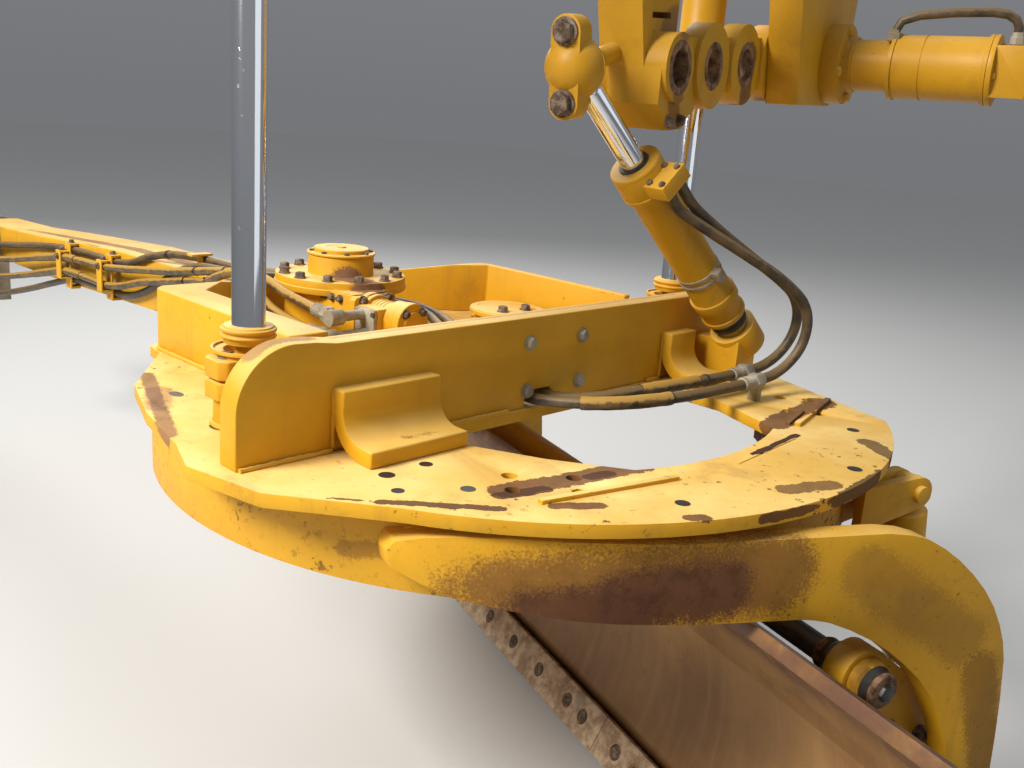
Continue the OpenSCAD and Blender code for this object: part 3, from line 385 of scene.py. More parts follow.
finishes = {
    "paint": wornPaint("paint_general", fleck=70),
    "plate": wornPaint("paint_plate", chips=0.6, fleck=46, dirt=0.35, painted_top_light=0.9, gloss=0.5, marks=plateWear),
    "skirt": wornPaint("paint_skirt", chips=0.9, streaks=0.35, marks=skirtWear),
    "arm": wornPaint("paint_arm", chips=0.5, fleck=90, marks=armWear),
    "wall": wornPaint("paint_wall", chips=0.1, dirt=0.1, streaks=0.08, painted_top_light=0.6, marks=wallWear),
    "socket": wornPaint("paint_socket", chips=0.3, dirt=0.2, streaks=0.15, painted_top_light=0.6),
    "link": wornPaint("paint_link", chips=0.3, painted_top_light=0.2, gloss=0.36, tone=0.85, marks=linkWear),
    "tongue": wornPaint("paint_tongue", chips=0.4, painted_top_light=0.6, marks=tongueWear),
    "drive": wornPaint("paint_drive", chips=0.25, dirt=0.25, painted_top_light=0.5, marks=driveWear),
    "cup": wornPaint("paint_cup", chips=1.7, fleck=17, dirt=0.9, painted_top_light=0.1, gloss=0.4, streaks=0.6),
    "barrel": wornPaint("paint_barrel", chips=0.08, dirt=0.16, painted_top_light=0.15, gloss=0.33, tone=0.8),
    "chrome": chromeRod("chrome_rod"),
    "liftRod": chromeRod("chrome_lift_rod", (places["rise"] + liftCollarTop) / 1000),
    "blade": bladeSteel("blade_face"),
    "edge": rustySteel("edge_steel", (0.62, 0.47, 0.31), (0.3, 0.19, 0.11), 0.15, 24, 0.3),
    "rust": rustySteel("rust_brown"),
    "pin": rustySteel("pin_steel", (0.3, 0.25, 0.21), (0.1, 0.06, 0.04), 0.6, 30, 0.7),
    "bolt": rustySteel("bolt_steel", (0.26, 0.2, 0.15), (0.07, 0.04, 0.025), 0.5, 60, 0.6),
    "zinc": rustySteel("zinc_fitting", (0.44, 0.41, 0.33), (0.3, 0.25, 0.17), 0.6, 18, 0.5),
    "black": rubber("rod_black", (0.012, 0.012, 0.013), 0.15),
    "hoseYellow": rubber("hose_oversprayed", (0.028, 0.022, 0.016), 0.35, (0.4, 0.225, 0.035), 26.0, 0.9),
    "hoseDark": rubber("hose_rubber", (0.022, 0.019, 0.016), 0.4, (0.24, 0.145, 0.045), 17.0, 0.62),
}
print("finishes made")


# ---- tools for pieces ----
edgeLook = {"steps": 2, "sharp": math.radians(32), "joined": 0.00002, "flat": math.radians(1.0)}
up = (0, 0, 1)


def addPiece(name, data, finish, body=None, node=None):
    piece = bpy.data.objects.new(name, data)
    bpy.context.scene.collection.objects.link(piece)
    data.materials.clear()
    data.materials.append(finishes[finish])
    if node:
        body = nodes[node]["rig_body"]
        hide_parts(node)
    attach(piece, body)
    return piece


def shadeSoft(mesh):
    mesh.shade_smooth()
    mesh.set_sharp_from_angle(angle=edgeLook["sharp"])


def bevelled(piece, width):
    bevel = piece.modifiers.new("edges", "BEVEL")
    bevel.width = width * mm
    bevel.segments = edgeLook["steps"]
    bevel.limit_method = "ANGLE"
    bevel.angle_limit = edgeLook["sharp"]
    bevel.use_clamp_overlap = True
    bpy.context.view_layer.update()
    shaped = bpy.data.meshes.new_from_object(piece.evaluated_get(bpy.context.evaluated_depsgraph_get()))
    piece.modifiers.clear()
    piece.data = shaped
    shadeSoft(shaped)


def softEdges(node, finish, width):
    work = bmesh.new()
    work.from_mesh(nodes[node].data)
    bmesh.ops.remove_doubles(work, verts=work.verts, dist=edgeLook["joined"])
    bmesh.ops.dissolve_limit(work, angle_limit=edgeLook["flat"], verts=work.verts, edges=work.edges)
    mesh = bpy.data.meshes.new(node + "_made")
    work.to_mesh(mesh)
    work.free()
    bevelled(addPiece(node + "_made", mesh, finish, node=node), width)


def turnTo(way, side=None):
    # a turn that takes Z along way, and X near side
    rise = Vector(way).normalized()
    side = Vector(side) if side else (Vector((1, 0, 0)) if abs(rise.x) < 0.9 else Vector((0, 1, 0)))
    across = (side - rise * side.dot(rise)).normalized()
    return Matrix((across, rise.cross(across), rise)).transposed()


def around(centre, plane, radius, count, first):
    # points on a circle round a centre, in a plane such as "xy"; first is where it starts, in degrees
    spots = []
    for k in range(count):
        angle = math.radians(first + 360 / count * k)
        spot = list(centre)
        spot["xyz".index(plane[0])] += radius * math.cos(angle)
        spot["xyz".index(plane[1])] += radius * math.sin(angle)
        spots.append(tuple(spot))
    return spots


class Shape:
    # several small solids in one mesh, drawn in millimetres in a frame

    def __init__(self, at):
        self.at = at
        self.work = bmesh.new()

    def put(self, points, faces, place=(0, 0, 0), turn=None):
        turn = turn or Matrix.Identity(3)
        made = [self.work.verts.new(self.at @ (Vector(place) + turn @ Vector(p))) for p in points]
        for face in faces:
            self.work.faces.new([made[i] for i in face])

    def turned(self, profile, place=(0, 0, 0), way=up, steps=20, squash=1.0, first=0.0, ring=False):
        # profile is [(radius, height), ...], closed by a point or a disc at each end, or into itself for a ring
        points, rows = [], []
        for radius, high in profile:
            if radius < 0.01:
                rows.append([len(points)])
                points.append((0, 0, high))
            else:
                rows.append(list(range(len(points), len(points) + steps)))
                for k in range(steps):
                    a = first + 2 * math.pi * k / steps
                    points.append((radius * math.cos(a), radius * squash * math.sin(a), high))
        faces = []
        for low, high in zip(rows, rows[1:] + rows[:1] if ring else rows[1:]):
            for k in range(steps):
                m = (k + 1) % steps
                corners = (low[k % len(low)], low[m % len(low)], high[m % len(high)], high[k % len(high)])
                faces.append(tuple(dict.fromkeys(corners)))
        if len(rows[0]) > 1 and not ring:
            faces.append(tuple(reversed(rows[0])))
        if len(rows[-1]) > 1 and not ring:
            faces.append(tuple(rows[-1]))
        self.put(points, faces, place, turnTo(way))

    def prism(self, outline, low, high, place=(0, 0, 0), way=up, side=None):
        count = len(outline)
        points = [(x, y, low) for x, y in outline] + [(x, y, high) for x, y in outline]
        faces = [tuple(reversed(range(count))), tuple(range(count, 2 * count))]
        faces += [(k, (k + 1) % count, (k + 1) % count + count, k + count) for k in range(count)]
        self.put(points, faces, place, turnTo(way, side))

    def bolt(self, place, way, across, head, washer=True, sunk=1.5):
        # across is the width across the head's flats, head its height
        turnHead = 0.3 + 0.7 * random.random()
        flat = across / 2 / math.cos(math.pi / 6)
        if washer:
            self.turned([(across * 0.72, -sunk), (across * 0.72, 2.6), (across * 0.66, 3.2)], place, way)
        low = 3.2 if washer else -sunk
        top = low + head
        self.turned([(flat, low - 0.4), (flat, top - 2.2), (flat * 0.93, top - 0.7), (flat * 0.74, top)],
                    place, way, 6, first=turnHead)
        self.turned([(flat * 0.78, top - 1.6), (flat * 0.7, top + 0.5), (flat * 0.42, top + 0.2)], place, way, 16)

    def pipe(self, points, radius, lump=0.0, sides=10):
        # lump is how far the radius wanders from ring to ring, as a share
        ways = [(Vector(points[min(i + 1, len(points) - 1)]) - Vector(points[max(i - 1, 0)])).normalized()
                for i in range(len(points))]
        angles = [2 * math.pi * k / sides for k in range(sides)]
        rings = []
        side = None
        for point, way in zip(points, ways):
            turn = turnTo(way, side)
            side = turn.col[0]
            wide = radius * (1 + lump * (random.random() - 0.5) * 2)
            rings += [Vector(point) + turn @ Vector((wide * math.cos(a), wide * math.sin(a), 0)) for a in angles]
        last = len(rings) - sides
        faces = [(low + k, low + (k + 1) % sides, low + sides + (k + 1) % sides, low + sides + k)
                 for low in range(0, last, sides) for k in range(sides)]
        self.put(rings, faces + [tuple(reversed(range(sides))), tuple(range(last, last + sides))])

    def weld(self, points, radius=5, pitch=7):
        # a bead with a ripple, along straight lines between the points
        line = [Vector(points[0])]
        for a, b in zip(points, points[1:]):
            parts = max(1, int((Vector(b) - Vector(a)).length / pitch))
            line += [Vector(a).lerp(Vector(b), (k + 1) / parts) for k in range(parts)]
        self.pipe(line, radius, 0.22, 8)

    def made(self, name, finish, body="drawbar", edge=0):
        bmesh.ops.recalc_face_normals(self.work, faces=self.work.faces)
        mesh = bpy.data.meshes.new(name)
        self.work.to_mesh(mesh)
        self.work.free()
        piece = addPiece(name, mesh, finish, body)
        if edge:
            bevelled(piece, edge)
        else:
            shadeSoft(mesh)


def weldPiece(name, finish, at, body, *rows):
    # a row: points, the bead's radius and its pitch
    beads = Shape(at)
    for points, *look in rows:
        beads.weld(points, *look)
    beads.made(name, finish, body)


def boltPiece(name, finish, at, body, *rows):
    # a row: places, way, width across the flats, height, and False where there is no washer
    heads = Shape(at)
    for spots, *look in rows:
        for spot in spots:
            heads.bolt(spot, *look)
    heads.made(name, finish, body)


def turnedPiece(name, finish, at, body, profiles, steps, place=(0, 0, 0), way=up):
    rounds = Shape(at)
    for profile in profiles:
        rounds.turned(profile, place, way, steps)
    rounds.made(name, finish, body)


# ---- hoses: their points in the yoke frame, from the tongue's front back ----
hoseTubeRadius = 12
routes = {
    "motor_upper": [(2840, 160, -150), (2674, 158, -127), (2500, 158, -100), (2340, 158, -72), (2190, 158, -46),
    (2056, 158, -26), (1890, 158, -16), (1728, 158, -8), (1580, 160, 8), (1435, 163, 28), (1300, 163, 46),
    (1180, 167, 66), (1060, 176, 86), (960, 188, 103), (870, 196, 116), (771, 200, 131), (660, 214, 130),
    (560, 228, 117), (440, 235, 105), (378, 239, 102)],
    "motor_lower": [(2840, 160, -225), (2686, 158, -199), (2520, 158, -168), (2360, 158, -136), (2200, 158, -102),
    (2056, 158, -74), (1890, 158, -68), (1728, 158, -68), (1600, 158, -50), (1500, 158, -24), (1400, 159, -2),
    (1300, 158, 14), (1200, 160, 33), (1100, 168, 50), (1000, 196, 66), (920, 225, 88), (850, 236, 112),
    (780, 236, 130), (720, 234, 120), (650, 238, 93), (570, 248, 71), (440, 262, 61), (360, 268, 59)],
    "shift_upper": [(2840, 124, -100), (2740, 124, -80), (2600, 124, -62), (2420, 124, -37), (2230, 124, -14),
    (2056, 124, 0), (1890, 124, 6), (1728, 125, 8), (1600, 125, 24), (1500, 118, 56), (1380, 98, 82),
    (1240, 80, 90), (1100, 76, 92), (980, 72, 94), (880, 50, 104), (820, 8, 104), (770, -50, 84),
    (720, -115, 62), (660, -175, 50), (570, -212, 44), (460, -196, 40), (340, -146, 36), (215, -75, 32),
    (90, 0, 28), (-40, 48, 22), (-155, 70, 18), (-222, 58, 21), (-272, 14, 28), (-304, -52, 36),
    (-330, -130, 42), (-347, -215, 45), (-356, -290, 45), (-359, -350, 45), (-359, -400, 45)],
    "shift_lower": [(2840, 124, -300), (2700, 126, -268), (2560, 126, -235), (2420, 126, -200), (2240, 126, -152),
    (2056, 124, -108), (1890, 124, -98), (1728, 125, -97), (1620, 127, -88), (1520, 127, -60), (1430, 127, -22),
    (1340, 127, 20), (1260, 123, 56), (1170, 118, 78), (1060, 114, 86), (960, 108, 92), (880, 88, 104),
    (815, 45, 106), (768, -4, 94), (716, -60, 74), (663, -120, 60), (598, -160, 51), (530, -172, 48),
    (450, -152, 46), (360, -108, 42), (235, -40, 38), (110, 32, 32), (-30, 92, 24), (-160, 114, 18),
    (-230, 106, 23), (-292, 74, 29), (-345, 22, 35), (-382, -48, 40), (-405, -130, 43), (-417, -215, 45),
    (-421, -285, 45), (-421, -345, 45)],
    "loop_upper": [(-360, -450, 46), (-366, -490, 54), (-378, -523, 76), (-390, -546, 110), (-398, -554, 150),
    (-400, -546, 190), (-397, -522, 225), (-388, -487, 252), (-374, -440, 281), (-357, -385, 313),
    (-338, -322, 350), (-318, -262, 388), (-302.18, -206.26, 426.86), (-294.66, -161.62, 471.82)],
    "loop_lower": [(-421, -395, 46), (-427, -435, 54), (-438, -468, 76), (-449, -491, 110), (-455, -499, 150),
    (-455, -492, 190), (-449, -469, 225), (-437, -434, 254), (-420, -388, 284), (-395, -337, 313),
    (-366, -286, 343), (-335, -235, 373), (-296.3, -171.1, 414.1), (-290.66, -137.62, 447.82)]
}


def hoseLine(points, steps=8):
    # a smooth curve through the points
    line = []
    for i in range(len(points) - 1):
        a, b, c, d = (Vector(points[k]) for k in (max(i - 1, 0), i, i + 1, min(i + 2, len(points) - 1)))
        for k in range(steps):
            t = k / steps
            line.append(0.5 * (2 * b + (c - a) * t + (2 * a - 5 * b + 4 * c - d) * t * t
                               + (3 * b - a - 3 * c + d) * t ** 3))
    line.append(Vector(points[-1]))
    return line


hoseLines = {route: hoseLine(points) for route, points in routes.items()}
for route, points in hoseLines.items():
    node = "hose_" + route
    finish = "hoseYellow" if route.startswith("motor") else "hoseDark"
    line = [yokeFrame @ p for p in points]
    curve = bpy.data.curves.new(node + "_made", "CURVE")
    curve.dimensions = "3D"
    curve.bevel_depth = hoseTubeRadius * mm
    curve.bevel_resolution = 4
    curve.use_fill_caps = True
    spline = curve.splines.new("POLY")
    spline.points.add(len(line) - 1)
    for spot, point in zip(spline.points, line):
        spot.co = (*point, 1)
    piece = addPiece(node + "_made", curve, finish, node=node)
    length = sum((b - a).length for a, b in zip(line, line[1:]))
    print(node, round(length * 1000), "mm")
print("hoses laid")


# ---- CAD nodes with rounded edges: finish, and edge width in millimetres ----
cadLooks = {
    "drawbar_tongue": ("tongue", 5), "drawbar_ball": ("pin", 2), "yoke_plate": ("plate", 3),
    "yoke_walls": ("paint", 4), "cross_wall": ("wall", 4), "lift_sockets": ("paint", 4),
    "shift_socket": ("paint", 4), "circle_shoes": ("rust", 2), "drive_housing": ("drive", 3),
    "drive_motor": ("socket", 3), "drive_pinion": ("pin", 1), "access_cap": ("paint", 3),
    "circle_ring": ("skirt", 2), "circle_arm_left": ("arm", 4), "circle_arm_right": ("arm", 4),
    "tip_lug": ("arm", 3), "tip_bracket_left": ("arm", 3), "tip_bracket_right": ("arm", 3),
    "tip_barrel": ("paint", 3), "tip_rod": ("chrome", 1.5), "side_shift_rod": ("black", 2),
    "side_shift_barrel": ("paint", 3), "moldboard": ("blade", 2), "slide_rails": ("pin", 2),
    "cutting_edges": ("edge", 2), "end_bits": ("edge", 2), "lift_rod_left": ("liftRod", 1.5),
    "lift_rod_right": ("liftRod", 1.5), "lift_barrel_left": ("barrel", 3), "lift_barrel_right": ("barrel", 3),
    "shift_barrel": ("barrel", 3), "shift_rod": ("chrome", 1.5), "ball_cap": ("link", 4),
    "link_bar": ("link", 4), "lift_arm_left": ("link", 4), "lift_arm_right": ("link", 4),
    "saddle_plate": ("link", 4), "lock_cylinder": ("link", 3), "lock_pin": ("pin", 1.5),
    "hose_clamps": ("paint", 1.5), "hose_fittings": ("zinc", 1.5)}
for node, (finish, width) in cadLooks.items():
    softEdges(node, finish, width)
print("CAD nodes dressed")


# ---- directions in each frame ----
rear, leftward, rightward = (-1, 0, 0), (0, 1, 0), (0, -1, 0)

# ---- cross wall: its bolts and weld beads ----
wall = {"rear": -185, "boltY": (137, -26), "boltZ": (139, 38), "bolt": (22, 9),
        "foot": ((-188, 800, 622, 3), (-188, 396, 190, 3), (-188, -270, -318, 3), (-133, 690, 560, 4)),
        "gussets": (620, 400, -320, -420), "gussetZ": (10, 112), "gussetX": -188, "beads": (5, 4)}
spots = [(wall["rear"], y, z) for y in wall["boltY"] for z in wall["boltZ"]]
boltPiece("wall_bolts", "zinc", yokeFrame, "drawbar", (spots, rear, *wall["bolt"]))
rows = [([(x, start, z), (x, end, z)], wall["beads"][0]) for x, start, end, z in wall["foot"]]
rows += [([(wall["gussetX"], y, z) for z in wall["gussetZ"]], wall["beads"][1]) for y in wall["gussets"]]
weldPiece("wall_welds", "wall", yokeFrame, "drawbar", *rows)

# ---- lift sockets: rod collars, ear with its bolt, rims and weld beads ----
collar = {"foot": [(24, 153), (43, 153.5), (45, 157)], "ribs": ((163, 168), (174, 180)), "rib": 50, "neck": 46,
          "bore": 31}
sockets = {label: (places["rod"][0], side * places["rod"][1], 0) for label, side in (("left", 1), ("right", -1))}
for label, place in sockets.items():
    profile = list(collar["foot"])
    for low, high in collar["ribs"]:
        rib, neck = collar["rib"], collar["neck"]
        profile += [(neck, low - 2), (rib - 1, low), (rib, low + 1.5), (rib, high - 1.5), (rib - 1, high),
                    (neck, high + 1)]
    profile += [(45, liftCollarTop - 1), (44, liftCollarTop), (collar["bore"], liftCollarTop)]
    turnedPiece("lift_collar_" + label, "socket", yokeFrame, "lift_" + label, [profile], 64, place)
earLook = {"outline": [(-12, 668), (-12, 716), (2, 730), (46, 730), (62, 716), (62, 668)],
           "halves": ((58, 91), (96, 131)), "pin": (22, 700), "bolt": (22, 7), "shank": [(11, 85), (11, 99)]}
ear = Shape(yokeFrame)
for low, high in earLook["halves"]:
    ear.prism(earLook["outline"], low, high)
ear.made("socket_ear", "socket", edge=4)
earBolt = Shape(yokeFrame)
earBolt.bolt((*earLook["pin"], earLook["halves"][1][1]), up, *earLook["bolt"])
earBolt.turned(earLook["shank"], (*earLook["pin"], 0))
earBolt.made("socket_bolt", "bolt")
rimLook = {"profile": [(61, 138), (67, 138), (67, 142), (66, 144), (62, 144), (61, 143)],
           "weldRadius": 64, "weldZ": 3, "weldTo": 150, "bead": (5, 6)}
rims = Shape(yokeFrame)
for place in sockets.values():
    rims.turned(rimLook["profile"], place, steps=64, ring=True)
rims.made("socket_rims", "socket")
radius = rimLook["weldRadius"]
angles = [math.radians(d) for d in range(-rimLook["weldTo"], rimLook["weldTo"] + 1, 6)]
rows = [([(x + radius * math.cos(a), y + radius * math.sin(a), rimLook["weldZ"]) for a in angles], *rimLook["bead"])
        for x, y, z in sockets.values()]
weldPiece("socket_welds", "socket", yokeFrame, "drawbar", *rows)

# ---- yoke plate: bars, black discs of painted shade over the holes, shoe bolts and the box's beads ----
# bars: start, end, width, height
plateBars = (((-558, 492), (-622, 213), 13, 7), ((-583, -271), (-523, -522), 13, 8),
             ((-566, -262), (-536, -380), 9, 5), ((-640, 50), (-624, -190), 6, 2))
bars = Shape(yokeFrame)
for start, end, wide, high in plateBars:
    start, end = Vector(start), Vector(end)
    way = (end - start).normalized()
    aside = Vector((-way.y, way.x)) * wide / 2
    bars.prism((start - aside, end - aside, end + aside, start + aside), -1, high)
bars.made("plate_bars", "plate", edge=1.5)
# black discs of painted shade over the plate's holes: how far they are squashed, and their x, y and radius
plateHoleShades = {0.62: ((259, 673, 20), (35, 711, 20)),
              1.0: ((-326, 611, 14), (-323, 524, 12), (-448, 543, 13), (-693, 298, 13), (-667, -354, 13),
                    (-786, -118, 14), (-390, 640, 11))}
holeShadeDiscs = Shape(yokeFrame)
for squash, holes in plateHoleShades.items():
    for x, y, radius in holes:
        holeShadeDiscs.turned([(radius, -2), (radius, 0.35), (radius * 0.82, 0.45)], (x, y, 0), steps=28, squash=squash)
holeShadeDiscs.made("plate_hole_shade_discs", "black")
shoes = {"angles": (45, -42, 140, 220), "radii": (625, 690), "aside": (-55, 55), "z": -14, "bolt": (19, 6)}
spots = [Matrix.Rotation(math.radians(angle), 3, "Z") @ Vector((radius, side, shoes["z"]))
         for angle in shoes["angles"] for radius in shoes["radii"] for side in shoes["aside"]]
boltPiece("shoe_bolts", "rust", yokeFrame, "drawbar", (spots, up, *shoes["bolt"], False))
boxFoot = ((82, 538), (598, 538), (650, 504), (985, 114))
boxFootZ = 3
rows = [([(x, side * y, boxFootZ) for x, y in boxFoot],) for side in (1, -1)]
weldPiece("box_welds", "paint", yokeFrame, "drawbar", *rows)

# ---- circle drive: flange and cap bolts, cap, worm case, motor ----
drive = {"flange": (148, 12, 8), "flangeZ": 150, "flangeBolt": (21, 12),
         "cap": (76, 8, 15), "capZ": 206, "capBolt": (12, 6),
         "lid": [(60, 199), (86, 199), (88, 201), (88, 204), (86, 206), (71, 206.5), (71, 214), (69, 216.5),
                 (40, 217), (38, 215.5), (12, 215.5), (11, 219), (0, 219.5)],
         "rim": [(150, 116), (168, 117), (169, 119), (169, 131), (167, 133), (167, 134)]}
boltPiece("drive_bolts", "bolt", driveFrame, "drawbar",
          (around((0, 0, drive["flangeZ"]), "xy", *drive["flange"]), up, *drive["flangeBolt"]),
          (around((0, 0, drive["capZ"]), "xy", *drive["cap"]), up, *drive["capBolt"], False))
driveCap = Shape(driveFrame)
driveCap.turned(drive["lid"], steps=64)
driveCap.turned(drive["rim"], steps=80)
driveCap.made("drive_cap", "socket")
worm = {"case": [(-194, 22), (-194, 112), (-184, 124), (-60, 124), (-44, 100), (-44, 22)], "caseZ": (36, 131),
        "plug": [(30, -8), (46, -6), (48, -3), (48, 6), (46, 9), (20, 9)], "plugAt": (-100, 65, 138),
        "flange": [(-58, -46), (58, -46), (66, -38), (66, 38), (58, 46), (-58, 46), (-66, 38), (-66, -38)],
        "flangeAt": (-196, 65, 85), "flangeDepth": (-8, 14)}
wormCase = Shape(driveFrame)
wormCase.prism(worm["case"], *worm["caseZ"])
wormCase.turned(worm["plug"], worm["plugAt"], steps=40)
wormCase.prism(worm["flange"], *worm["flangeDepth"], worm["flangeAt"], rear, leftward)
wormCase.made("worm_case", "drive", edge=3)
# ribs: from, to and radius; bolts: the rows of boltPiece
motor = {"axis": (0, 65, 85),
         "ribs": ((210, 222, 50), (228, 232, 42), (240, 244, 42), (252, 256, 42), (264, 268, 42), (290, 322, 48),
                  (322, 345, 50)),
         "bolts": ((around((-345, 65, 85), "yz", 38, 4, 45), rear, 15, 9),
                   ([(-208, y, z) for z in (122, 48) for y in (25, 105)], rear, 17, 10),
                   ([(x, 124, 118) for x in (-150, -120, -90)], leftward, 14, 8),
                   ([(x, 138, z) for x in (-285, -228) for z in (54, 104)], leftward, 11, 6, False))}
profiles = [[(radius - 5, low), (radius - 1, low + 0.5), (radius, low + 2), (radius, high - 2),
             (radius - 1, high - 0.5), (radius - 5, high)] for low, high, radius in motor["ribs"]]
turnedPiece("motor_ribs", "socket", driveFrame, "drawbar", profiles, 48, motor["axis"], rear)
boltPiece("motor_bolts", "bolt", driveFrame, "drawbar", *motor["bolts"])

# ---- access cap ----
accessCap = {"place": (403, -402, 0), "bolts": [(372, -352, 54), (362, -432, 54)], "bolt": (24, 12),
             "rim": [(104, 40), (107, 41), (107, 50), (104, 54.5), (86, 55), (84, 53.5)]}
boltPiece("cap_bolts", "bolt", yokeFrame, "drawbar", (accessCap["bolts"], up, *accessCap["bolt"]))
turnedPiece("cap_rim", "socket", yokeFrame, "drawbar", [accessCap["rim"]], 64, accessCap["place"])

# ---- hose fittings: crimps, nuts, ties, sleeves and strap bolts ----
crimp = {"length": 42, "radius": 16.5, "groove": 15, "grooves": 5, "pitch": 7, "foot": 16.8, "bore": 10,
         "nut": [(10, -26), (18, -25), (20.5, -22), (20.5, -3), (18, 0), (10, 0)]}
crimpProfile = [(12.2, crimp["length"]), (crimp["groove"], crimp["length"] - 1)]
for k in range(crimp["grooves"]):
    low = crimp["length"] - 4 - k * crimp["pitch"]
    crimpProfile += [(crimp["radius"], low), (crimp["radius"], low - 3), (crimp["groove"], low - 4.2),
                     (crimp["groove"], low - 6)]
crimpProfile += [(crimp["foot"], 3), (crimp["foot"], 0), (crimp["bore"], 0)]
ferrules = Shape(yokeFrame)
nuts = Shape(yokeFrame)
for route in ("motor_upper", "motor_lower", "shift_upper", "shift_lower"):
    for end, inner in ((0, 1), (-1, -2)):
        line = hoseLines[route]
        back = (line[inner] - line[end]).normalized()
        start = line[end] - back * 2
        ferrules.turned(crimpProfile, start, back, 24)
        nuts.turned(crimp["nut"], start, back, 6)
ferrules.made("hose_ferrules", "zinc")
nuts.made("hose_nuts", "zinc")
# ties: where on each hose they sit, as a share of its points
tie = {"motor_upper": (0.62, 0.73), "motor_lower": (0.56, 0.67), "shift_upper": (0.3, 0.93),
       "shift_lower": (0.29, 0.9)}
tieLook = {"band": [(12.2, -4), (13.6, -3.5), (13.6, 3.5), (12.2, 4)],
           "knot": [(2.6, 12), (3.2, 13), (3.2, 17), (1, 17.5)]}
ties = Shape(yokeFrame)
for route, spots in tie.items():
    line = hoseLines[route]
    for spot in spots:
        at = int(spot * (len(line) - 1))
        way = (line[at + 1] - line[at - 1]).normalized()
        ties.turned(tieLook["band"], line[at], way)
        ties.turned(tieLook["knot"], line[at], turnTo(way).col[0], 8)
ties.made("hose_ties", "black")
# sleeves: from and to on each hose, as a share of its points; their radius, wander and sides
sleeves = {"motor_upper": (0.18, 0.3), "motor_lower": (0.15, 0.27), "shift_upper": (0.86, 0.92),
           "shift_lower": (0.83, 0.9)}
sleeveLook = (14.5, 0.03, 14)
for route, (low, high) in sleeves.items():
    line = hoseLines[route]
    part = line[int(low * (len(line) - 1)):int(high * (len(line) - 1)) + 1]
    guard = Shape(yokeFrame)
    guard.pipe(part, *sleeveLook)
    guard.made("hose_guard_" + route, "hoseYellow")
# straps: x, height of the strap, height of the inner bolt above it
strap = {"at": ((2056, 0, 24), (1728, 16, 16)), "bolt": (16, 8)}
rows = []
for x, high, rise in strap["at"]:
    rows.append(([(x, 178, high - 20)], leftward, *strap["bolt"]))
    rows.append(([(x, 162, high), (x, 128, high + rise)], up, *strap["bolt"]))
boltPiece("strap_bolts", "bolt", yokeFrame, "drawbar", *rows)

# ---- centre-shift cylinder: gland, bands, boot, port bolts and wiper ----
shift = {"gland": ([(44, 474), (58, 475), (59, 478), (59, 484), (57, 486)],
                   [(50, 536), (57, 537), (58, 540), (56, 544), (40, 545), (29, 545), (28, 540)],
                   [(48, 62), (52, 63), (53, 66), (53, 74), (50, 76)]),
         "bands": (196, 214), "buckle": [(-10, 48), (10, 48), (10, 72), (-10, 72)], "buckleZ": (194, 226),
         "boot": [(22, 30), (40, 30), (44, 34), (44, 42), (40, 46), (42, 50), (47, 54), (47, 60), (40, 63), (24, 63)],
         "bolts": [(x, y, 520) for x in (-26, 26) for y in (56, 92)], "bolt": (13, 8),
         "wiper": [(27, 540), (34, 540), (35, 543), (34, 548), (28, 549)]}
turnedPiece("shift_gland", "barrel", shiftFrame, "shift_tube", shift["gland"], 56)
band = Shape(shiftFrame)
for low in shift["bands"]:
    band.turned([(49, low), (51.5, low + 0.5), (51.5, low + 9.5), (49, low + 10)], steps=56)
band.prism(shift["buckle"], *shift["buckleZ"])
band.made("shift_bands", "zinc", "shift_tube", 1)
turnedPiece("shift_boot", "black", shiftFrame, "shift_tube", [shift["boot"]], 48)
boltPiece("shift_bolts", "bolt", shiftFrame, "shift_tube", (shift["bolts"], up, *shift["bolt"], False))
turnedPiece("shift_wiper", "black", shiftFrame, "shift_tube", [shift["wiper"]], 40)

# ---- ball cap, link bar and lift arms ----
capLook = {"face": -46, "aside": 66, "washer": [(20, -1), (27, 0), (27, 4), (26, 5)], "bolt": (38, 20)}
bigBolts = Shape(linkFrame)
for side in (-1, 1):
    place = (capLook["face"], 0, side * capLook["aside"])
    bigBolts.turned(capLook["washer"], place, rear, 32)
    bigBolts.bolt(place, rear, *capLook["bolt"], False)
bigBolts.made("cap_big_bolts", "bolt", "shift_piston")
neck = {"rise": math.radians(10),
        "profile": [(20, 22), (38, 24), (44, 30), (44, 38), (38, 42), (40, 47), (38, 52), (24, 54)]}
neckWay = (math.cos(neck["rise"]), 0, math.sin(neck["rise"]))
turnedPiece("neck_boot", "black", linkFrame, "link", [neck["profile"]], 40, way=neckWay)
link = {"firstHole": 410, "pitch": 200, "holes": 6, "armHoles": (228, 1592), "steps": 48,
        "ring": [(37.3, 73), (37.3, 121), (43, 122), (50, 121.5), (53, 119), (38.5, 73)],
        "liner": [(39.3, 21), (39.3, 121), (46, 122), (55, 121), (57, 118), (40.5, 21)],
        "pinEnd": [(12, 19), (39, 19), (39.6, 21), (12, 22)],
        "blockBolts": [(205, -110, -108), (262, -110, -108)], "blockBolt": (19, 10)}
hubRings = Shape(linkFrame)
for k in range(link["holes"]):
    place = (link["firstHole"] + link["pitch"] * k, 0, 0)
    hubRings.turned(link["ring"], place, rightward, link["steps"], ring=True)
hubRings.made("hub_rings", "rust", "link")
liners = Shape(linkFrame)
for u in link["armHoles"]:
    liners.turned(link["liner"], (u, 0, 0), rightward, link["steps"], ring=True)
    liners.turned(link["pinEnd"], (u, 0, 0), rightward, 40)
liners.made("hub_liners", "rust", "link")
boltPiece("block_bolts", "bolt", linkFrame, "link", (link["blockBolts"], rightward, *link["blockBolt"]))

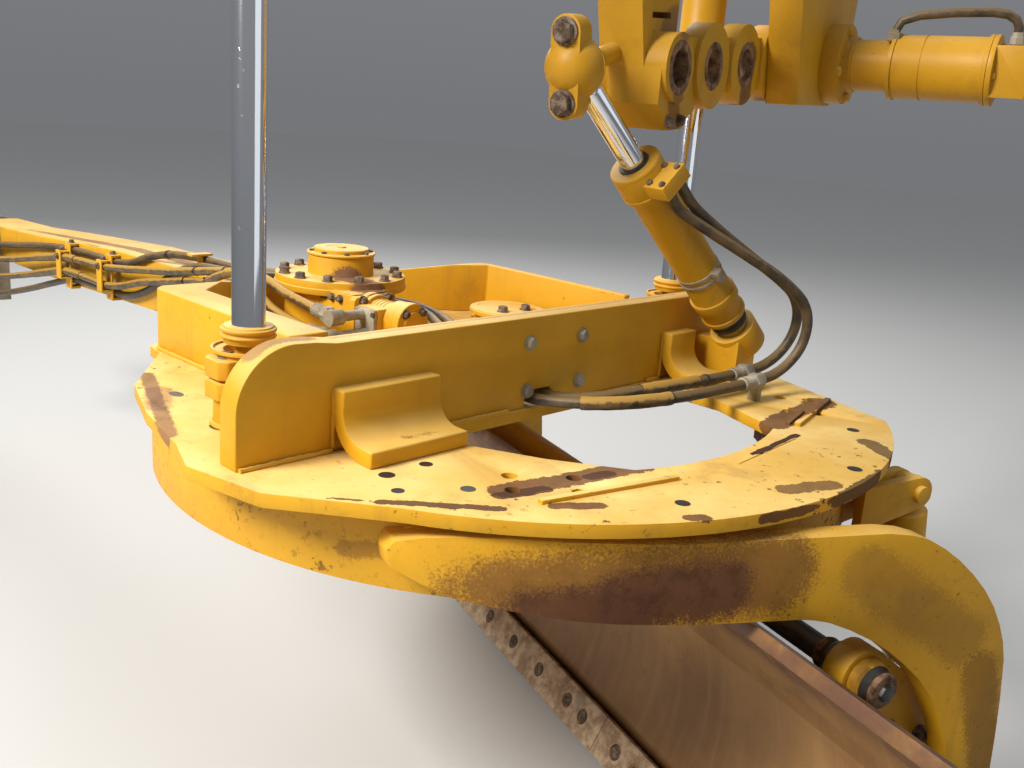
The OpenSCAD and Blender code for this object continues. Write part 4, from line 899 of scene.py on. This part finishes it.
# ---- lock cylinder: bolts, rings and pipe ----
# rings: from, to and radius; pipe: u from the cylinder's axis, y, z; stubs: u, y, z
lock = {"u": 1010, "flange": (84, 4, 10), "flangeY": -250, "flangeBolt": (22, 10),
        "head": (62, 6, 10), "headY": -612, "headBolt": (15, 9),
        "rings": ((268, 276, 68), (366, 378, 82), (588, 600, 84), (440, 446, 80)),
        "pipe": ((40, -640, 62), (40, -640, 100), (38, -632, 118), (30, -612, 130), (20, -580, 134), (0, -500, 132),
                 (-20, -420, 124), (-30, -380, 110), (-34, -366, 82)), "pipeLook": (11, 0, 14),
        "stubs": ((40, -640, 60), (-34, -366, 62)), "stub": [(14, 0), (17, 2), (17, 18), (14, 20), (13, 30)]}
boltPiece("lock_bolts", "socket", linkFrame, "link",
          *((around((lock["u"], lock[part + "Y"], 0), "xz", *lock[part]), rightward, *lock[part + "Bolt"], False)
            for part in ("flange", "head")))
profiles = [[(radius - 6, low), (radius, low + 1.5), (radius, high - 1.5), (radius - 6, high)]
            for low, high, radius in lock["rings"]]
turnedPiece("lock_rings", "link", linkFrame, "link", profiles, 56, (lock["u"], 0, 0), rightward)
lockPipe = Shape(linkFrame)
lockPipe.pipe([(lock["u"] + u, y, z) for u, y, z in lock["pipe"]], *lock["pipeLook"])
lockPipe.made("lock_pipe", "hoseDark", "link")
stubs = Shape(linkFrame)
for u, y, z in lock["stubs"]:
    stubs.turned(lock["stub"], (lock["u"] + u, y, z), up, 6)
stubs.made("lock_stubs", "zinc", "link")

# ---- circle: the arms' weld beads and the bracket's bolts ----
armLook = {"radius": 772, "z": -50, "degrees": range(52, 81, 2), "bead": (5, 6)}
radius = armLook["radius"]
angles = [math.radians(d) for d in armLook["degrees"]]
rows = [([(radius * math.cos(a), side * radius * math.sin(a), armLook["z"]) for a in angles], *armLook["bead"])
        for side in (1, -1)]
weldPiece("arm_welds", "arm", circleFrame, "circle", *rows)
bracket = {"y": 840, "spots": ((-508, -503), (-563, -550), (-420, -470), (-560, -640)), "bolt": (24, 13)}
spots = [(x, bracket["y"], z) for x, z in bracket["spots"]]
boltPiece("bracket_bolts", "bolt", circleFrame, "tip", (spots, leftward, *bracket["bolt"]))

# ---- cutting edges: worn bolts, and two in each end bit ----
# top is the face's upper corner in x and z; row is how far below it the bolts lie
edge = {"top": (-244.8, -807.9), "down": (0.4602, -0.8878), "out": (0.8878, 0.4602), "thick": 19, "row": 47,
        "seam": 215, "pitch": 152.4, "count": 10, "bitHoles": (1679, 1779),
        "ring": [(19, -1.5), (19, 0.5), (16, 1.0), (13, 0.4)], "head": [(13, -1), (12.5, 1.4), (9, 2.2), (0, 2.5)]}
edgeX, edgeZ = (edge["top"][i] + edge["row"] * edge["down"][i] + edge["thick"] * edge["out"][i] for i in (0, 1))
edgeOut = (edge["out"][0], 0, edge["out"][1])
distances = [edge["pitch"] / 2, *(edge["pitch"] * k for k in range(1, edge["count"] + 1)), *edge["bitHoles"]]
edgeRings = Shape(circleFrame)
edgeBolts = Shape(circleFrame)
for distance in distances:
    for side in (1, -1):
        place = (edgeX, edge["seam"] + side * distance, edgeZ)
        edgeRings.turned(edge["ring"], place, edgeOut, 24)
        edgeBolts.turned(edge["head"], place, edgeOut, 20)
edgeRings.made("edge_bolt_rings", "rust", "blade")
edgeBolts.made("edge_bolts", "bolt", "blade")

# ---- side-shift rod's joint: rings and cup ----
jointLook = {"place": (-335, 0, -352), "steps": 48,
             "inner": [(26, 736), (31, 738), (33, 744), (31, 752), (26, 756)],
             "collar": [(40, 776), (46, 778), (47, 782), (47, 792), (45, 795)],
             "tip": [(30, 876), (34, 877), (35, 881), (30, 886), (20, 887)],
             "cup": [(40, 779), (44.6, 780), (44.8, 784), (44.8, 854), (44, 858), (40, 862), (38, 862)]}
joint = Shape(circleFrame)
for part, steps in (("inner", 40), ("collar", jointLook["steps"]), ("tip", 40)):
    joint.turned(jointLook[part], jointLook["place"], leftward, steps)
joint.made("side_shift_joint", "rust", "circle")
turnedPiece("side_shift_cup", "cup", circleFrame, "circle", [jointLook["cup"]], jointLook["steps"],
            jointLook["place"], leftward)


# ---- floor and light ----
stage = {"floorGap": 0.02, "floorReach": 30, "floorColour": (0.55, 0.55, 0.54), "floorRoughness": 0.85,
         "aim": (-3.25, 0, 0.065), "horizon": (0.55, 0.57, 0.6, 1), "zenith": (1.0, 1.03, 1.08, 1),
         "zenithFrom": 0.75, "worldStrength": 0.32}
reach, floorZ = stage["floorReach"], cadBox[0][2] - stage["floorGap"]
floorMesh = bpy.data.meshes.new("floor")
corners = ((-reach, -reach), (reach, -reach), (reach, reach), (-reach, reach))
floorMesh.from_pydata([(x, y, floorZ) for x, y in corners], [], [(0, 1, 2, 3)])
floor = bpy.data.objects.new("floor", floorMesh)
bpy.context.scene.collection.objects.link(floor)
floorMesh.materials.append(Finish("floor_pale").finish(stage["floorColour"], stage["floorRoughness"]))

# place and size in metres, power in watts, tint
lamps = {"key": ((-2.3, 5.6, 4.6), 2.2, 860, (1.0, 0.96, 0.9)),
         "fill": ((-8.0, -1.5, 3.2), 4.0, 35, (0.9, 0.95, 1.0)),
         "rim": ((2.0, -3.0, 4.5), 4.0, 300, (1.0, 1.0, 1.0))}
for name, (place, size, power, tint) in lamps.items():
    light = bpy.data.lights.new(name, "AREA")
    light.size = size
    light.energy = power
    light.color = tint
    lamp = bpy.data.objects.new(name, light)
    bpy.context.scene.collection.objects.link(lamp)
    lamp.location = place
    lamp.rotation_euler = (Vector(stage["aim"]) - Vector(place)).to_track_quat("-Z", "Y").to_euler()
world = bpy.data.worlds.new("studio")
bpy.context.scene.world = world
world.use_nodes = True
tree = world.node_tree
spread = tree.nodes.new("ShaderNodeSeparateXYZ")
sky = tree.nodes.new("ShaderNodeValToRGB")
sky.color_ramp.elements[0].color = stage["horizon"]
sky.color_ramp.elements[1].color = stage["zenith"]
sky.color_ramp.elements[1].position = stage["zenithFrom"]
tree.links.new(tree.nodes.new("ShaderNodeTexCoord").outputs["Generated"], spread.inputs[0])
tree.links.new(spread.outputs[2], sky.inputs[0])
tree.links.new(sky.outputs[0], tree.nodes["Background"].inputs[0])
tree.nodes["Background"].inputs[1].default_value = stage["worldStrength"]
print("floor and light set")
